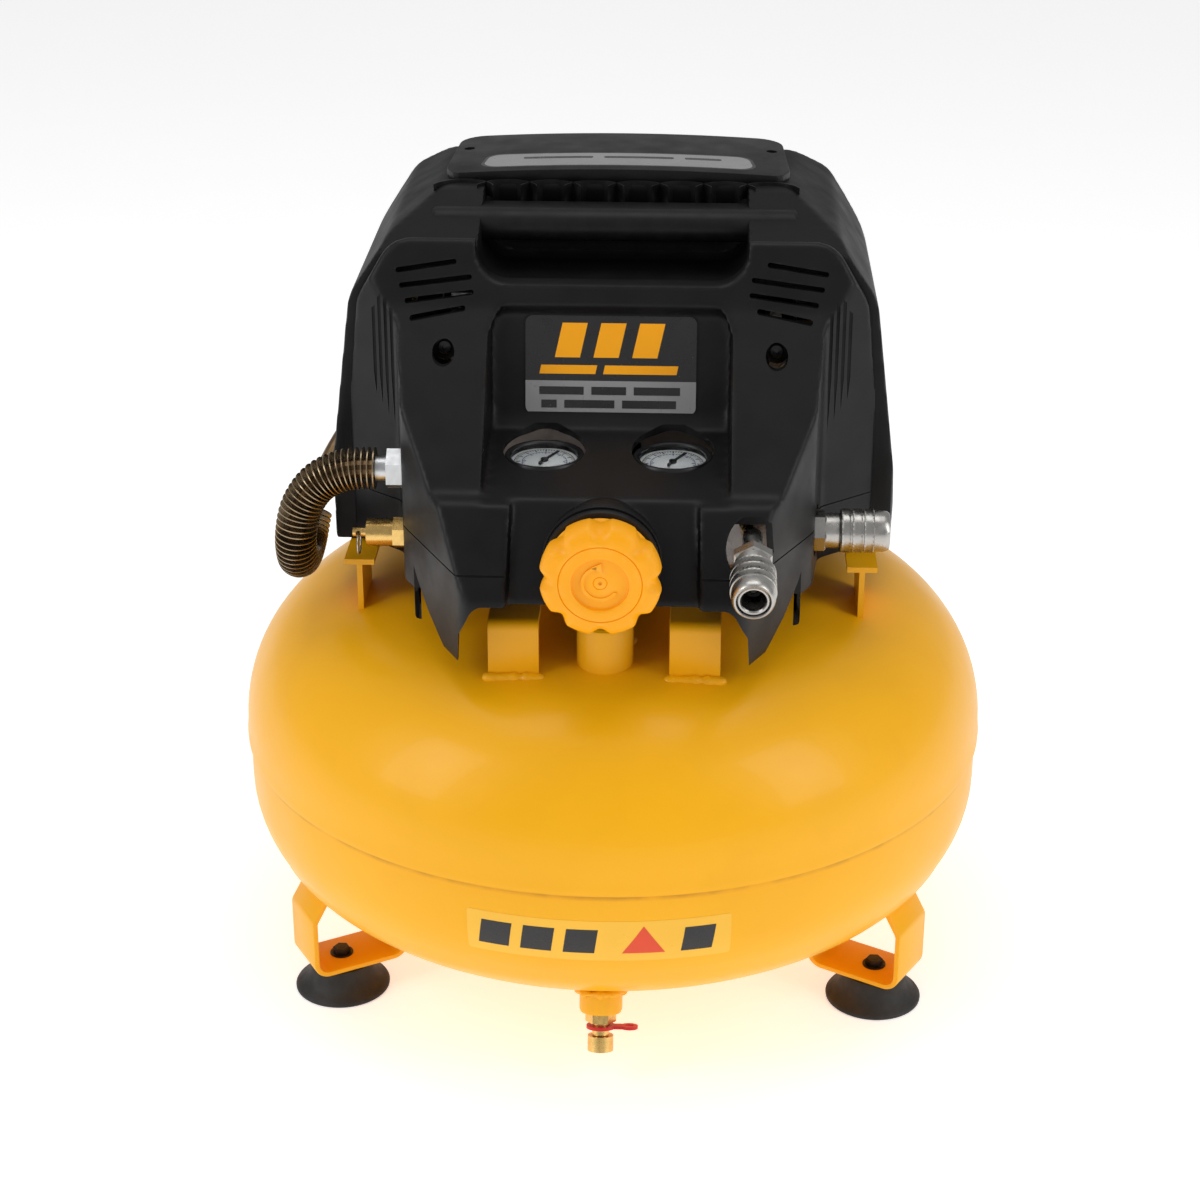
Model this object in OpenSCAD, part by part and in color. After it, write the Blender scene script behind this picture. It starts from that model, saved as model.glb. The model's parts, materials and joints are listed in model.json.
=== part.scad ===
// Pancake air compressor: a flat tank on three legs, a motor and a one-cylinder pump under a
// two-piece shroud, and an air panel at the front with a regulator, two gauges and two couplers.
// Millimetres. The origin is on the floor under the tank's axis, +Z is up and -Y is the front.

/* [Tank] */
// Outside diameter of the tank
tank_d = 410; // [380:5:490]
// Height of the tank's seam above the floor
seam_z = 135; // [128:1:162]
// Height of the upper head above the seam
head_top_h = 91; // [80:1:110]
// Depth of the lower head below the seam
head_low_h = 94.5; // [85:0.5:100]
// Thickness of the tank's sheet
tank_wall = 2.5; // [2:0.1:4]
// How far the weld bead stands out of the seam
bead_out = 2; // [1:0.5:4]

/* [Legs and feet] */
// Width of a leg's strap
leg_w = 32; // [26:1:39]
// Thickness of a leg's strap
leg_t = 3; // [2:0.5:4]
// Length of a leg from its outer face to its inner face
leg_l = 56; // [46:1:67]
// Diameter of a rubber foot at the floor
foot_d = 52.5; // [44:0.5:63]
// Height of a rubber foot
foot_h = 17; // [14:0.5:20]

/* [Air panel] */
// Diameter of the regulator knob
knob_d = 60; // [50:1:72]
// Height of the regulator knob's face above the floor
knob_z = 289; // [284:1:294]
// Distance between the axes of the two gauges
gauge_gap = 66; // [56:1:79]
// Outside diameter of a gauge
gauge_d = 41.5; // [35:0.5:50]
// Outside diameter of a coupler's sleeve
sleeve_d = 23; // [20:0.5:27]
// Bore of a coupler's socket
socket_d = 12; // [10:0.5:14]

/* [Pump] */
// Bore of the cylinder
bore_d = 60; // [50:1:68]
// Stroke of the piston
stroke = 20; // [17:1:24]
// Diameter of the crankshaft
shaft_d = 12; // [10:1:15]
// Side of the motor's square stack of laminations
motor_w = 104; // [90:1:112]
// Diameter of the cooling fan
fan_d = 92; // [76:1:94]

/* [Shroud] */
// Thickness of the shroud's plastic
shell_t = 3; // [2.5:0.1:3.6]
// Width of the handle's opening
grip_w = 140; // [116:1:150]
// Outside diameter of the pipe from the pump to the tank
pipe_d = 10; // [8:0.5:12]
// Outside diameter of the pipe's cooling fins
fin_d = 22; // [18:0.5:26]

/* [Hidden] */
$fn = 48;

tank_r = tank_d / 2;
top_flange = 6;
top_knuckle = 75;
low_flange = 27;
low_knuckle = 58;
bead_h = 8;
run_gap = 0.05;   // radial clearance of a running fit
body_gap = 0.4;   // gap between pieces that move past each other
tiny = 0.01;

// A head's outside line from the axis to the seam: a crown arc and a knuckle arc that meet smoothly.
function crown_r(r, h, flange, knuckle) =
    let (a = r - knuckle, rise = h - flange) (a * a + rise * rise - knuckle * knuckle) / (2 * (rise - knuckle));
function head_line(r, h, flange, knuckle, steps = 9) =
    let (
        a = r - knuckle,
        crown = crown_r(r, h, flange, knuckle),
        meet = asin(a / (crown - knuckle))
    )
    concat(
        [for (i = [0:3]) [crown * sin(meet * i / 3), h - crown + crown * cos(meet * i / 3)]],
        [for (i = [1:steps]) let (t = meet + (90 - meet) * i / steps) [a + knuckle * sin(t), flange + knuckle * cos(t)]],
        [[r, 0]]
    );
function flip(points) = [for (i = [len(points) - 1:-1:0]) points[i]];
top_line = head_line(tank_r, head_top_h, top_flange, top_knuckle);
low_line = head_line(tank_r, head_low_h, low_flange, low_knuckle);
// Height of the tank's upper surface at a distance from the axis, on the crown
top_crown = crown_r(tank_r, head_top_h, top_flange, top_knuckle);
function dome_z(r) = seam_z + head_top_h - top_crown + sqrt(top_crown * top_crown - r * r);
tank_top_z = seam_z + head_top_h;

// Moves each edge of a counter-clockwise outline inwards by d.
function unit(v) = v / norm(v);
function inset(p, d) = [for (i = [0:len(p) - 1])
    let (
        u = unit(p[i] - p[(i + len(p) - 1) % len(p)]),
        v = unit(p[(i + 1) % len(p)] - p[i]),
        m = [-u.y, u.x],
        n = [-v.y, v.x]
    )
    p[i] + d * (m + n) / (1 + m * n)];
function arc(c, r, a0, a1, steps = 5) =
    [for (i = [0:steps]) let (t = a0 + (a1 - a0) * i / steps) c + r * [cos(t), sin(t)]];

module along_x(w) { rotate([90, 0, 90]) linear_extrude(w, center = true) children(); }
module box(lo, hi) { translate(lo) cube(hi - lo); }
// A cylinder from x0 to x1 along X, at a place in Y and Z
module bar_x(x0, x1, y, z, d) { translate([x0, y, z]) rotate([0, 90, 0]) cylinder(h = x1 - x0, d = d); }
// ---- Tank ----
module tank_solid(grow = 0) {
    translate([0, 0, seam_z]) {
        rotate_extrude($fn = 96) polygon(concat([[0, 0]],
            head_line(tank_r + grow, head_top_h + grow, top_flange, top_knuckle + grow)));
        mirror([0, 0, 1]) rotate_extrude($fn = 96) polygon(concat([[0, 0]],
            head_line(tank_r + grow, head_low_h + grow, low_flange, low_knuckle + grow)));
    }
}
module head_shell(r, h, flange, knuckle) {
    rotate_extrude($fn = 96) polygon(concat(head_line(r, h, flange, knuckle),
        flip(head_line(r - tank_wall, h - tank_wall, flange, knuckle - tank_wall))));
}
module tank_upper() {
    color("gold") translate([0, 0, seam_z]) head_shell(tank_r, head_top_h, top_flange, top_knuckle);
}
module tank_lower() {
    color("gold") {
        translate([0, 0, seam_z]) mirror([0, 0, 1]) head_shell(tank_r, head_low_h, low_flange, low_knuckle);
        // weld bead round the seam
        translate([0, 0, seam_z]) rotate_extrude($fn = 96) polygon([[tank_r, -bead_h / 2],
            [tank_r + bead_out * 0.7, -bead_h / 3], [tank_r + bead_out, 0],
            [tank_r + bead_out * 0.7, bead_h / 3], [tank_r, bead_h / 2]]);
    }
}

// The outlet bung under the regulator, and the drain bung low at the front
bung_y = -115;
bung_d = 29;
bung_top_z = 241;
drain_tilt = 161;   // turns +Z to point down and a little forward
drain_y = -(tank_r - 41);
drain_z = seam_z - low_flange - low_knuckle + 1.7;
drain_bung_d = 22.5;
drain_bung_h = 12.5;
drain_neck_d = 10;
module at_drain() { translate([0, drain_y, drain_z]) rotate([drain_tilt, 0, 0]) children(); }
module tank_bungs() {
    color("gold") difference() {
        union() {
            translate([0, bung_y, bung_top_z - 30]) cylinder(h = 30, d = bung_d);
            at_drain() translate([0, 0, -8]) cylinder(h = drain_bung_h + 8, d = drain_bung_d);
        }
        tank_solid();
        translate([0, bung_y, bung_top_z - 10]) cylinder(h = 11, d = riser_d);
        at_drain() cylinder(h = drain_bung_h + 1, d = drain_neck_d);
    }
}

// ---- Legs and feet ----
leg_outer_r = tank_r - 12;
leg_inner_r = leg_outer_r - leg_l;
foot_r = leg_outer_r - 22;
leg_bend = 6;
leg_lean = 12;   // how far the outer strap leans in at its top
LEG_LEFT = 210;
LEG_RIGHT = 330;
LEG_REAR = 90;
nut_h = 4;
screw_d = 6;
screw_gap = 0.2;
function u_line(x0, x1, z0, z1, r) = concat([[x1 - leg_lean, z1], [x1, z1 - 1.6 * leg_lean]],
    arc([x1 - r, z0 + r], r, 0, -90), arc([x0 + r, z0 + r], r, 270, 180), [[x0, z1]]);
module leg(angle) {
    leg_top = seam_z - low_flange - 36;
    color("gold") difference() {
        rotate([0, 0, angle]) rotate([90, 0, 0]) linear_extrude(leg_w, center = true)
            polygon(concat(u_line(leg_inner_r, leg_outer_r, foot_h, leg_top, leg_bend),
                flip(u_line(leg_inner_r + leg_t, leg_outer_r - leg_t, foot_h + leg_t, leg_top, leg_bend - leg_t))));
        tank_solid();
        rotate([0, 0, angle]) translate([foot_r, 0, foot_h - 1]) cylinder(h = leg_t + 2, d = screw_d + 2 * screw_gap);
    }
}
module leg_left() { leg(LEG_LEFT); }
module leg_right() { leg(LEG_RIGHT); }
module leg_rear() { leg(LEG_REAR); }
module feet() {
    rim_r = foot_d / 2;
    neck_r = rim_r * 0.64;
    color("dimgray") for (angle = [LEG_LEFT, LEG_RIGHT, LEG_REAR]) rotate([0, 0, angle]) translate([foot_r, 0, 0])
        rotate_extrude() polygon([[screw_d / 2 + screw_gap, 6], [rim_r - 10, 5], [rim_r - 6, 0], [rim_r, 0],
            [rim_r, 2.5], [rim_r - 4, 5.5], [neck_r + 1, foot_h - 5], [neck_r, foot_h], [screw_d / 2 + screw_gap, foot_h]]);
}
module foot_screws() {
    color("black") for (angle = [LEG_LEFT, LEG_RIGHT, LEG_REAR]) rotate([0, 0, angle]) translate([foot_r, 0, 0]) {
        translate([0, 0, 3]) cylinder(h = foot_h + leg_t - 3 + tiny, d = screw_d);
        translate([0, 0, foot_h + leg_t]) cylinder(h = nut_h, d = 10, $fn = 6);
        translate([0, 0, 1.9]) cylinder(h = 3.5, d = 12);
    }
}

// ---- Drain ----
drain_hex = 14;
hex_round = 1 / cos(30);
drain_hex_end = drain_bung_h + 5;
drain_neck_end = drain_hex_end + 7;
drain_knob_d = 13.5;
drain_stem_d = 4;
module drain_valve() {
    color("goldenrod") at_drain() difference() {
        union() {
            translate([0, 0, 4]) cylinder(h = drain_bung_h - 4, d = drain_neck_d);
            translate([0, 0, drain_bung_h]) cylinder(h = 5, d = drain_hex * hex_round, $fn = 6);
            translate([0, 0, drain_hex_end - tiny]) cylinder(h = 7 + tiny, d = 9);
        }
        translate([0, 0, drain_hex_end - 2]) cylinder(h = 12, d = drain_stem_d + 2 * run_gap);
    }
}
module drain_knob() {
    color("goldenrod") at_drain() {
        translate([0, 0, drain_neck_end + body_gap]) cylinder(h = 8, d = drain_knob_d);
        translate([0, 0, drain_hex_end]) cylinder(h = 8, d = drain_stem_d);
    }
}
module drain_tether() {
    strap_t = 1.6;
    reach = 15;
    color("red") at_drain() translate([0, 0, drain_hex_end + 2]) difference() {
        union() {
            cylinder(h = strap_t, d = 15);
            box([0, -3, 0], [reach, 3, strap_t]);
            translate([reach, 0, 0]) cylinder(h = strap_t, d = 9);
        }
        translate([0, 0, -1]) cylinder(h = 4, d = 9.4);
        translate([reach, 0, -1]) cylinder(h = 4, d = 4.5);
    }
}

// ---- Pump frame ----
rail_x = 46;
rail_w = 26;
rail_t = 3;
rail_front_y = -130;
rail_rear_y = 150;
rail_top_z = tank_top_z + 20;
mount_h = 6;
plate_t = 3;
plate_z = rail_top_z + mount_h;
axis_y = 85;
mount_y = [axis_y - 50, axis_y + 50];
module pump_rails() {
    color("gold") difference() {
        for (x = [-rail_x, rail_x]) translate([x - rail_w / 2, 0, 0]) {
            box([0, rail_front_y, tank_top_z - 26], [rail_w, rail_front_y + rail_t, rail_top_z]);
            box([0, rail_rear_y - rail_t, tank_top_z - 30], [rail_w, rail_rear_y, rail_top_z]);
            box([0, rail_front_y, rail_top_z - rail_t], [rail_w, rail_rear_y, rail_top_z]);
        }
        tank_solid();
    }
}
bracket_x = 134;
module cover_brackets() {
    color("gold") difference() {
        for (side = [-1, 1]) {
            box([side * bracket_x - 1.5, -50, tank_top_z - 40], [side * bracket_x + 1.5, -14, tank_top_z + 17.9]);
            box([side * bracket_x - 8, -50, tank_top_z + 14.9], [side * bracket_x + 8, -14, tank_top_z + 17.9]);
        }
        tank_solid();
    }
}
module rubber_mounts() {
    color("dimgray") for (x = [-rail_x, rail_x], y = mount_y) translate([x, y, rail_top_z])
        rotate_extrude() polygon([[0, 0], [9, 0], [7, mount_h / 2], [9, mount_h], [0, mount_h]]);
}
module motor_plate() { color("silver") box([-94, axis_y - 60, plate_z], [96, axis_y + 62, plate_z + plate_t]); }

// ---- Motor ----
axis_z = plate_z + plate_t + 5 + motor_w / 2;
shaft_r = shaft_d / 2;
stack_x0 = 14;
stack_x1 = 66;
rotor_d = motor_w * 0.54;
air_gap = 0.5;
coil_l = 12;
bracket_x0 = 84;
bracket_x1 = 90;
case_x0 = -92;
case_x1 = -4;
bearing_d = 32;
fan_x0 = 98;
fan_x1 = 114;
module motor_stator() {
    color("gray") difference() {
        box([stack_x0, axis_y - motor_w / 2, axis_z - motor_w / 2], [stack_x1, axis_y + motor_w / 2, axis_z + motor_w / 2]);
        bar_x(stack_x0 - 1, stack_x1 + 1, axis_y, axis_z, rotor_d + 2 * air_gap);
        for (y = [-1, 1], z = [-1, 1]) bar_x(stack_x0 - 1, stack_x1 + 1, axis_y + y * motor_w * 0.43, axis_z + z * motor_w * 0.43, 5);
    }
}
module motor_windings() {
    color("chocolate") for (x = [stack_x0 - coil_l, stack_x1]) difference() {
        bar_x(x, x + coil_l, axis_y, axis_z, motor_w * 0.88);
        bar_x(x - 1, x + coil_l + 1, axis_y, axis_z, rotor_d + 4);
    }
}
module rotor_core() {
    color("lightgray") difference() {
        bar_x(stack_x0, stack_x1, axis_y, axis_z, rotor_d);
        bar_x(stack_x0 - 1, stack_x1 + 1, axis_y, axis_z, shaft_d);
    }
}
throw = stroke / 2;
crank_x0 = -48;
crank_x1 = -38;
pin_end_x = -52;
module crankshaft() {
    color("silver") {
        bar_x(crank_x1 - tiny, fan_x1 + 4, axis_y, axis_z, shaft_d);
        bar_x(crank_x0, crank_x1, axis_y, axis_z, 2 * throw + 22);
        bar_x(pin_end_x, crank_x0 + tiny, axis_y, axis_z - throw, 10);
    }
}
module shaft_bearings() {
    color("lightsteelblue") for (x = [case_x1 - 12, bracket_x0 - 2]) difference() {
        bar_x(x, x + 10, axis_y, axis_z, bearing_d);
        bar_x(x - 1, x + 11, axis_y, axis_z, shaft_d + 2 * run_gap);
    }
}
module end_bracket() {
    color("silver") difference() {
        box([bracket_x0, axis_y - motor_w / 2, plate_z + plate_t], [bracket_x1, axis_y + motor_w / 2, axis_z + motor_w / 2]);
        bar_x(bracket_x0 - 1, bracket_x1 + 1, axis_y, axis_z, bearing_d);
        for (y = [-32, 32], z = [-30, 30]) bar_x(bracket_x0 - 1, bracket_x1 + 1, axis_y + y, axis_z + z, 14);
    }
}
module cooling_fan() {
    color("white") {
        difference() {
            bar_x(fan_x0, fan_x1, axis_y, axis_z, 26);
            bar_x(fan_x0 - 1, fan_x1 + 1, axis_y, axis_z, shaft_d);
        }
        for (i = [0:8]) translate([0, axis_y, axis_z]) rotate([i * 40, 0, 0])
            box([fan_x0 + 1, -1, 12.5], [fan_x1 - 1, 1, fan_d / 2]);
    }
}

// ---- Pump ----
pump_x = -62;
case_half = 40;
case_wall = 8;
case_z0 = plate_z + plate_t;
case_z1 = axis_z + throw + 30;
sleeve_t = 4;
sleeve_h = 36;
deck_z = case_z1 + sleeve_h;
deck_t = 4;
head_h = 14;
head_half = bore_d / 2 + 8;
head_top_z = deck_z + deck_t + head_h;
bolt_off = bore_d / 2 + 2;
bolt_d = 5;
piston_h = 8;
crown_z = deck_z - 1 - stroke;
big_end_x0 = -70;
big_end_x1 = -54;
module crankcase() {
    color("silver") difference() {
        box([case_x0, axis_y - case_half, case_z0], [case_x1, axis_y + case_half, case_z1]);
        box([case_x0 + case_wall, axis_y - case_half + case_wall, case_z0 + 6],
            [case_x1 - case_wall - 4, axis_y + case_half - case_wall, case_z1 - 6]);
        translate([pump_x, axis_y, case_z1 - 7]) cylinder(h = 8, d = bore_d - 4);
        bar_x(case_x1 - 13, case_x1 + 1, axis_y, axis_z, bearing_d);
    }
}
module piston_rod() {
    color("silver") {
        translate([pump_x, axis_y, crown_z - piston_h]) cylinder(h = piston_h, d = bore_d - 2 * run_gap);
        box([pump_x - 5, axis_y - 5, axis_z - throw + 12], [pump_x + 5, axis_y + 5, crown_z - piston_h + tiny]);
        difference() {
            bar_x(big_end_x0, big_end_x1, axis_y, axis_z - throw, 28);
            bar_x(big_end_x0 - 1, big_end_x1 + 1, axis_y, axis_z - throw, 16);
        }
    }
}
module cylinder_sleeve() {
    color("silver") translate([pump_x, axis_y, case_z1]) difference() {
        cylinder(h = sleeve_h, d = bore_d + 2 * sleeve_t);
        translate([0, 0, -1]) cylinder(h = sleeve_h + 2, d = bore_d);
    }
}
module head_blank(z0, z1, hole) {
    difference() {
        box([pump_x - head_half, axis_y - head_half, z0], [pump_x + head_half, axis_y + head_half, z1]);
        for (x = [-1, 1], y = [-1, 1]) translate([pump_x + x * bolt_off, axis_y + y * bolt_off, z0 - 1])
            cylinder(h = z1 - z0 + 2, d = hole);
    }
}
module valve_plate() {
    color("lightgray") difference() {
        head_blank(deck_z, deck_z + deck_t, bolt_d + 0.2);
        for (y = [-10, 10]) translate([pump_x, axis_y + y, deck_z - 1]) cylinder(h = deck_t + 2, d = 7);
    }
}
port_z = deck_z + deck_t + 7;
module cylinder_head() {
    color("silver") difference() {
        union() {
            head_blank(deck_z + deck_t, deck_z + deck_t + 10, bolt_d + 0.2);
            for (i = [-4:4]) box([pump_x - head_half, axis_y + i * 7 - 1, deck_z + deck_t + 9], [pump_x + head_half, axis_y + i * 7 + 1, head_top_z]);
        }
        for (x = [-1, 1], y = [-1, 1]) translate([pump_x + x * bolt_off, axis_y + y * bolt_off, deck_z + deck_t + 10])
            cylinder(h = head_h, d = 9.4);
        for (y = [-10, 10]) translate([pump_x, axis_y + y, deck_z + deck_t - 1]) cylinder(h = 8, d = 14);
        bar_x(pump_x - head_half - 1, pump_x - 5, axis_y + 10, port_z - 2, 6);
    }
}
module head_bolts() {
    color("black") for (x = [-1, 1], y = [-1, 1]) translate([pump_x + x * bolt_off, axis_y + y * bolt_off, 0]) {
        translate([0, 0, case_z1]) cylinder(h = deck_z + deck_t + 10 - case_z1 + tiny, d = bolt_d);
        translate([0, 0, deck_z + deck_t + 10]) cylinder(h = 4, d = 8.5);
    }
}
module intake_filter() {
    x0 = pump_x + head_half;
    color("dimgray") {
        bar_x(x0, x0 + 6, axis_y, port_z + 1, 8);
        bar_x(x0 + 6 - tiny, x0 + 24, axis_y, port_z + 1, 18);
    }
}

// ---- Air panel ----
man_y = -64;
man_depth = 24;
man_z0 = 256;
man_z1 = 280;
man_half = 90;
safety_z = 266;
coupler_z = 271;
check_z = 302;
riser_d = 14;
knob_tilt = 94;   // turns +Z to point forward and 4 degrees down
knob_y = -180;
knob_h = 20;
bonnet_d = 36;
gauge_y = -70;
gauge_top_z = 314;
gauge_h = 24;
gauge_x = gauge_gap / 2;
reg_d = 30;
module at_regulator() { translate([0, knob_y, knob_z]) rotate([knob_tilt, 0, 0]) children(); }
module manifold() {
    color("silver") difference() {
        union() {
            box([-man_half, man_y - man_depth / 2, man_z0], [man_half, man_y + man_depth / 2, man_z1]);
            box([-8, man_y - man_depth / 2, man_z1 - tiny], [8, man_y + man_depth / 2, man_z1 + 24]);
        }
        bar_x(-man_half - 1, -man_half + 12, man_y, safety_z, 10);
        bar_x(man_half - 12, man_half + 1, man_y, coupler_z, 10);
        for (x = [-gauge_x, gauge_x]) translate([x, gauge_y, man_z1 - 8]) cylinder(h = 9, d = 8);
    }
}
outlet_x = 73.5;
outlet_y = -180;
outlet_z = 281.5;
outlet_tilt = 99;
module at_outlet() { translate([outlet_x, outlet_y, outlet_z]) rotate([outlet_tilt, 0, 0]) children(); }
coupler_l = 40;
spigot_l = 20;
module air_pipes() {
    tail = coupler_l + spigot_l;
    dir = [0, -sin(outlet_tilt), cos(outlet_tilt)];
    start = [outlet_x, outlet_y, outlet_z] - tail * dir;
    end = [outlet_x, man_y - man_depth / 2, 270];
    color("goldenrod") pipe([start, start + [-3, 13, 0], end + [-2, -20, 14], end + [0, -10, 3], end], 7);
    color("goldenrod") difference() {
        translate([0, bung_y, bung_top_z - 10]) cylinder(h = knob_z - bung_top_z, d = riser_d);
        at_regulator() translate([0, 0, -92]) cylinder(h = 92, d = reg_d);
        at_regulator() translate([0, 0, bonnet_x0]) cylinder(h = 60, d = bonnet_d);
    }
}
bonnet_x0 = -62;
bonnet_x1 = -27;
module regulator_body() {
    color("silver") at_regulator() difference() {
        union() {
            translate([0, 0, bonnet_x0]) cylinder(h = bonnet_x1 - bonnet_x0, d = bonnet_d);
            translate([0, 0, -88]) cylinder(h = 88 + bonnet_x0 + tiny, d = reg_d);
            translate([0, 0, -103.5]) cylinder(h = 16, d = 15);
        }
        translate([0, 0, bonnet_x0 + 2]) cylinder(h = 29, d = bonnet_d - 8);
        translate([0, 0, -32]) cylinder(h = 8, d = stem_d + 2 * run_gap);
    }
}
spring_d = 22;
module regulator_spring() {
    turns = 5;
    per_turn = 20;
    height = 18;
    r = spring_d / 2;
    angles = [for (i = [0:turns * per_turn]) 360 * i / per_turn];
    color("dimgray") at_regulator() translate([0, 0, bonnet_x0 + 4]) sweep(
        [for (a = angles) [r * cos(a), r * sin(a), height * a / (360 * turns)]],
        [for (a = angles) unit([-sin(a), cos(a), height / (2 * PI * r * turns)])], 1.4, 8);
}
stem_d = 12;
module regulator_stem() {
    color("silver") at_regulator() {
        translate([0, 0, -46]) cylinder(h = 40, d = stem_d);
        translate([0, 0, -37]) cylinder(h = 3, d = spring_d + 4);
    }
}
module regulator_collar() {
    color("black") at_regulator() difference() {
        translate([0, 0, bonnet_x1]) cylinder(h = 5, d = knob_d - 4);
        translate([0, 0, bonnet_x1 - 1]) cylinder(h = 7, d = knob_d - 16);
    }
}
module regulator_knob() {
    lobes = 8;
    color("orange") at_regulator() difference() {
        union() {
            translate([0, 0, -knob_h + 3]) cylinder(h = knob_h - 5, d = knob_d);
            translate([0, 0, -2 - tiny]) cylinder(h = 2 + tiny, d1 = knob_d, d2 = knob_d - 5);
            translate([0, 0, -knob_h]) cylinder(h = 3 + tiny, d = knob_d - 8);
        }
        for (i = [0:lobes - 1]) rotate([0, 0, (i + 0.5) * 360 / lobes])
            translate([knob_d * 0.6, 0, -knob_h - 1]) cylinder(h = knob_h + 2, d = knob_d * 0.28);
        translate([0, 0, -1.2]) cylinder(h = 2, d = knob_d * 0.48);
        translate([0, 0, -knob_h - 1]) cylinder(h = knob_h - 5, d = stem_d);
    }
}
module gauge_cases() {
    color("silver") for (x = [-gauge_x, gauge_x]) translate([x, gauge_y, 0]) difference() {
        union() {
            translate([0, 0, gauge_top_z - gauge_h]) cylinder(h = gauge_h, d = gauge_d);
            translate([0, 0, man_z1 - 8]) cylinder(h = gauge_top_z - gauge_h - man_z1 + 8 + tiny, d = 8);
        }
        translate([0, 0, gauge_top_z - 5]) cylinder(h = 6, d = gauge_d - 5);
    }
}
dial_z = gauge_top_z - 5;
module needle(x, turn) {
    color("black") translate([x, gauge_y, dial_z]) rotate([0, 0, turn]) {
        translate([0, 0, 0.3]) cylinder(h = 1.4, d = 4);
        box([-5, -0.6, 0.8], [gauge_d * 0.33, 0.6, 1.4]);
    }
}
needle_turn = 62;
module gauge_needle_left() { needle(-gauge_x, needle_turn); }
module gauge_needle_right() { needle(gauge_x, needle_turn); }
module gauge_lenses() {
    color("white", 0.4) for (x = [-gauge_x, gauge_x]) translate([x, gauge_y, gauge_top_z - 2.4]) cylinder(h = 1.4, d = gauge_d - 5);
}

// ---- Safety valve, left ----
safety_x0 = -96;
safety_x1 = -127;
pin_d = 5;
ring_d = 12;
ring_wire = 1;
ring_x = -131.5;
lift = 3;
module safety_valve() {
    color("goldenrod") difference() {
        union() {
            bar_x(safety_x1, -112, man_y, safety_z, 14.5);
            translate([-105, man_y, safety_z]) rotate([0, -90, 0]) cylinder(h = 8, d = 15 * hex_round, $fn = 6);
            bar_x(-106, -man_half + 10, man_y, safety_z, 10);
        }
        bar_x(safety_x1 - 1, safety_x1 + 20, man_y, safety_z, pin_d + 2 * run_gap);
    }
}
module safety_pin() {
    color("goldenrod") difference() {
        bar_x(ring_x - 3, safety_x1 + 14, man_y, safety_z, pin_d);
        translate([ring_x, man_y - 4, safety_z]) rotate([-90, 0, 0]) cylinder(h = 8, d = 2.8, $fn = 24);
    }
}
module safety_ring() {
    color("silver") translate([ring_x, man_y, safety_z - ring_d / 2]) rotate([0, 90, 0])
        rotate_extrude() translate([ring_d / 2, 0]) circle(d = ring_wire, $fn = 16);
}

// ---- Quick couplers ----
sleeve_l = 24;
sleeve_back = 12;      // gap behind the sleeve for its travel, and the nut
sleeve_travel = 5;
coupler_body_d = sleeve_d - 4;
module coupler_body() {
    color("silver") difference() {
        union() {
            translate([0, 0, -coupler_l]) cylinder(h = coupler_l - 2, d = coupler_body_d);
            translate([0, 0, -coupler_l]) cylinder(h = 7, d = 19 * hex_round, $fn = 6);
            translate([0, 0, -coupler_l - spigot_l]) cylinder(h = spigot_l + tiny, d = 10);
        }
        translate([0, 0, -18]) cylinder(h = 20, d = socket_d);
        translate([0, 0, -30]) cylinder(h = 14, d = socket_d - 4);
    }
}
module coupler_sleeve() {
    color("lightgray") difference() {
        translate([0, 0, -sleeve_l - 2]) cylinder(h = sleeve_l + 2, d = sleeve_d);
        translate([0, 0, -sleeve_l - 3]) cylinder(h = sleeve_l + 4, d = coupler_body_d + 2 * body_gap);
    }
}
side_end_x = 146;
module at_side() { translate([side_end_x, man_y, coupler_z]) rotate([0, 90, 0]) children(); }
module coupler_side() { at_side() coupler_body(); }
module sleeve_side() { at_side() coupler_sleeve(); }
module coupler_front() { at_outlet() coupler_body(); }
module sleeve_front() { at_outlet() coupler_sleeve(); }

// ---- Pipe from the pump ----
nut_x = -106;
// Points that the pipe passes through, from the check valve's nut to the cylinder head's port
tube_path = [[-100, man_y, check_z], [-118, man_y, check_z], [-136, man_y, check_z - 1], [-151, man_y, 294],
    [-161, man_y, 280], [-165, man_y + 1, 263], [-166, -55, 248], [-166, -41, 242.5], [-165, -27, 247],
    [-163, -15, 260], [-159, -2, 273], [-153, 12, 284], [-145, 26, 295], [-136, 40, 308], [-128, 54, 324],
    [-121, 66, 341], [-115, 76, 358], [-109, 86, 374], [-104, axis_y + 10, port_z - 2],
    [pump_x - head_half, axis_y + 10, port_z]];
// A smooth curve through points: t runs from 0 at the first point to the last point's place in the list.
function ctrl(p, i) = p[max(0, min(len(p) - 1, i))];
function curve(p, t) =
    let (
        i = min(floor(t), len(p) - 2),
        u = t - i,
        a = ctrl(p, i - 1),
        b = ctrl(p, i),
        c = ctrl(p, i + 1),
        d = ctrl(p, i + 2)
    )
    b + 0.5 * u * ((c - a) + u * ((2 * a - 5 * b + 4 * c - d) + u * (3 * b - a - 3 * c + d)));
function heading(p, t) = unit(curve(p, min(t + 0.02, len(p) - 1)) - curve(p, max(t - 0.02, 0)));
module sweep(points, dirs, r, sides) {
    ring = [for (i = [0:len(points) - 1], k = [0:sides - 1])
        let (v = dirs[i], side = unit(cross(v, [0.1, 0.2, 1])), up = cross(side, v), b = 360 * k / sides)
            points[i] + r * (cos(b) * side + sin(b) * up)];
    last = (len(points) - 1) * sides;
    walls = [for (i = [0:len(points) - 2], k = [0:sides - 1])
        [i * sides + k, i * sides + (k + 1) % sides, (i + 1) * sides + (k + 1) % sides, (i + 1) * sides + k]];
    ends = [[for (k = [sides - 1:-1:0]) k], [for (k = [0:sides - 1]) last + k]];
    polyhedron(ring, concat(walls, ends), convexity = 8);
}
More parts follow.
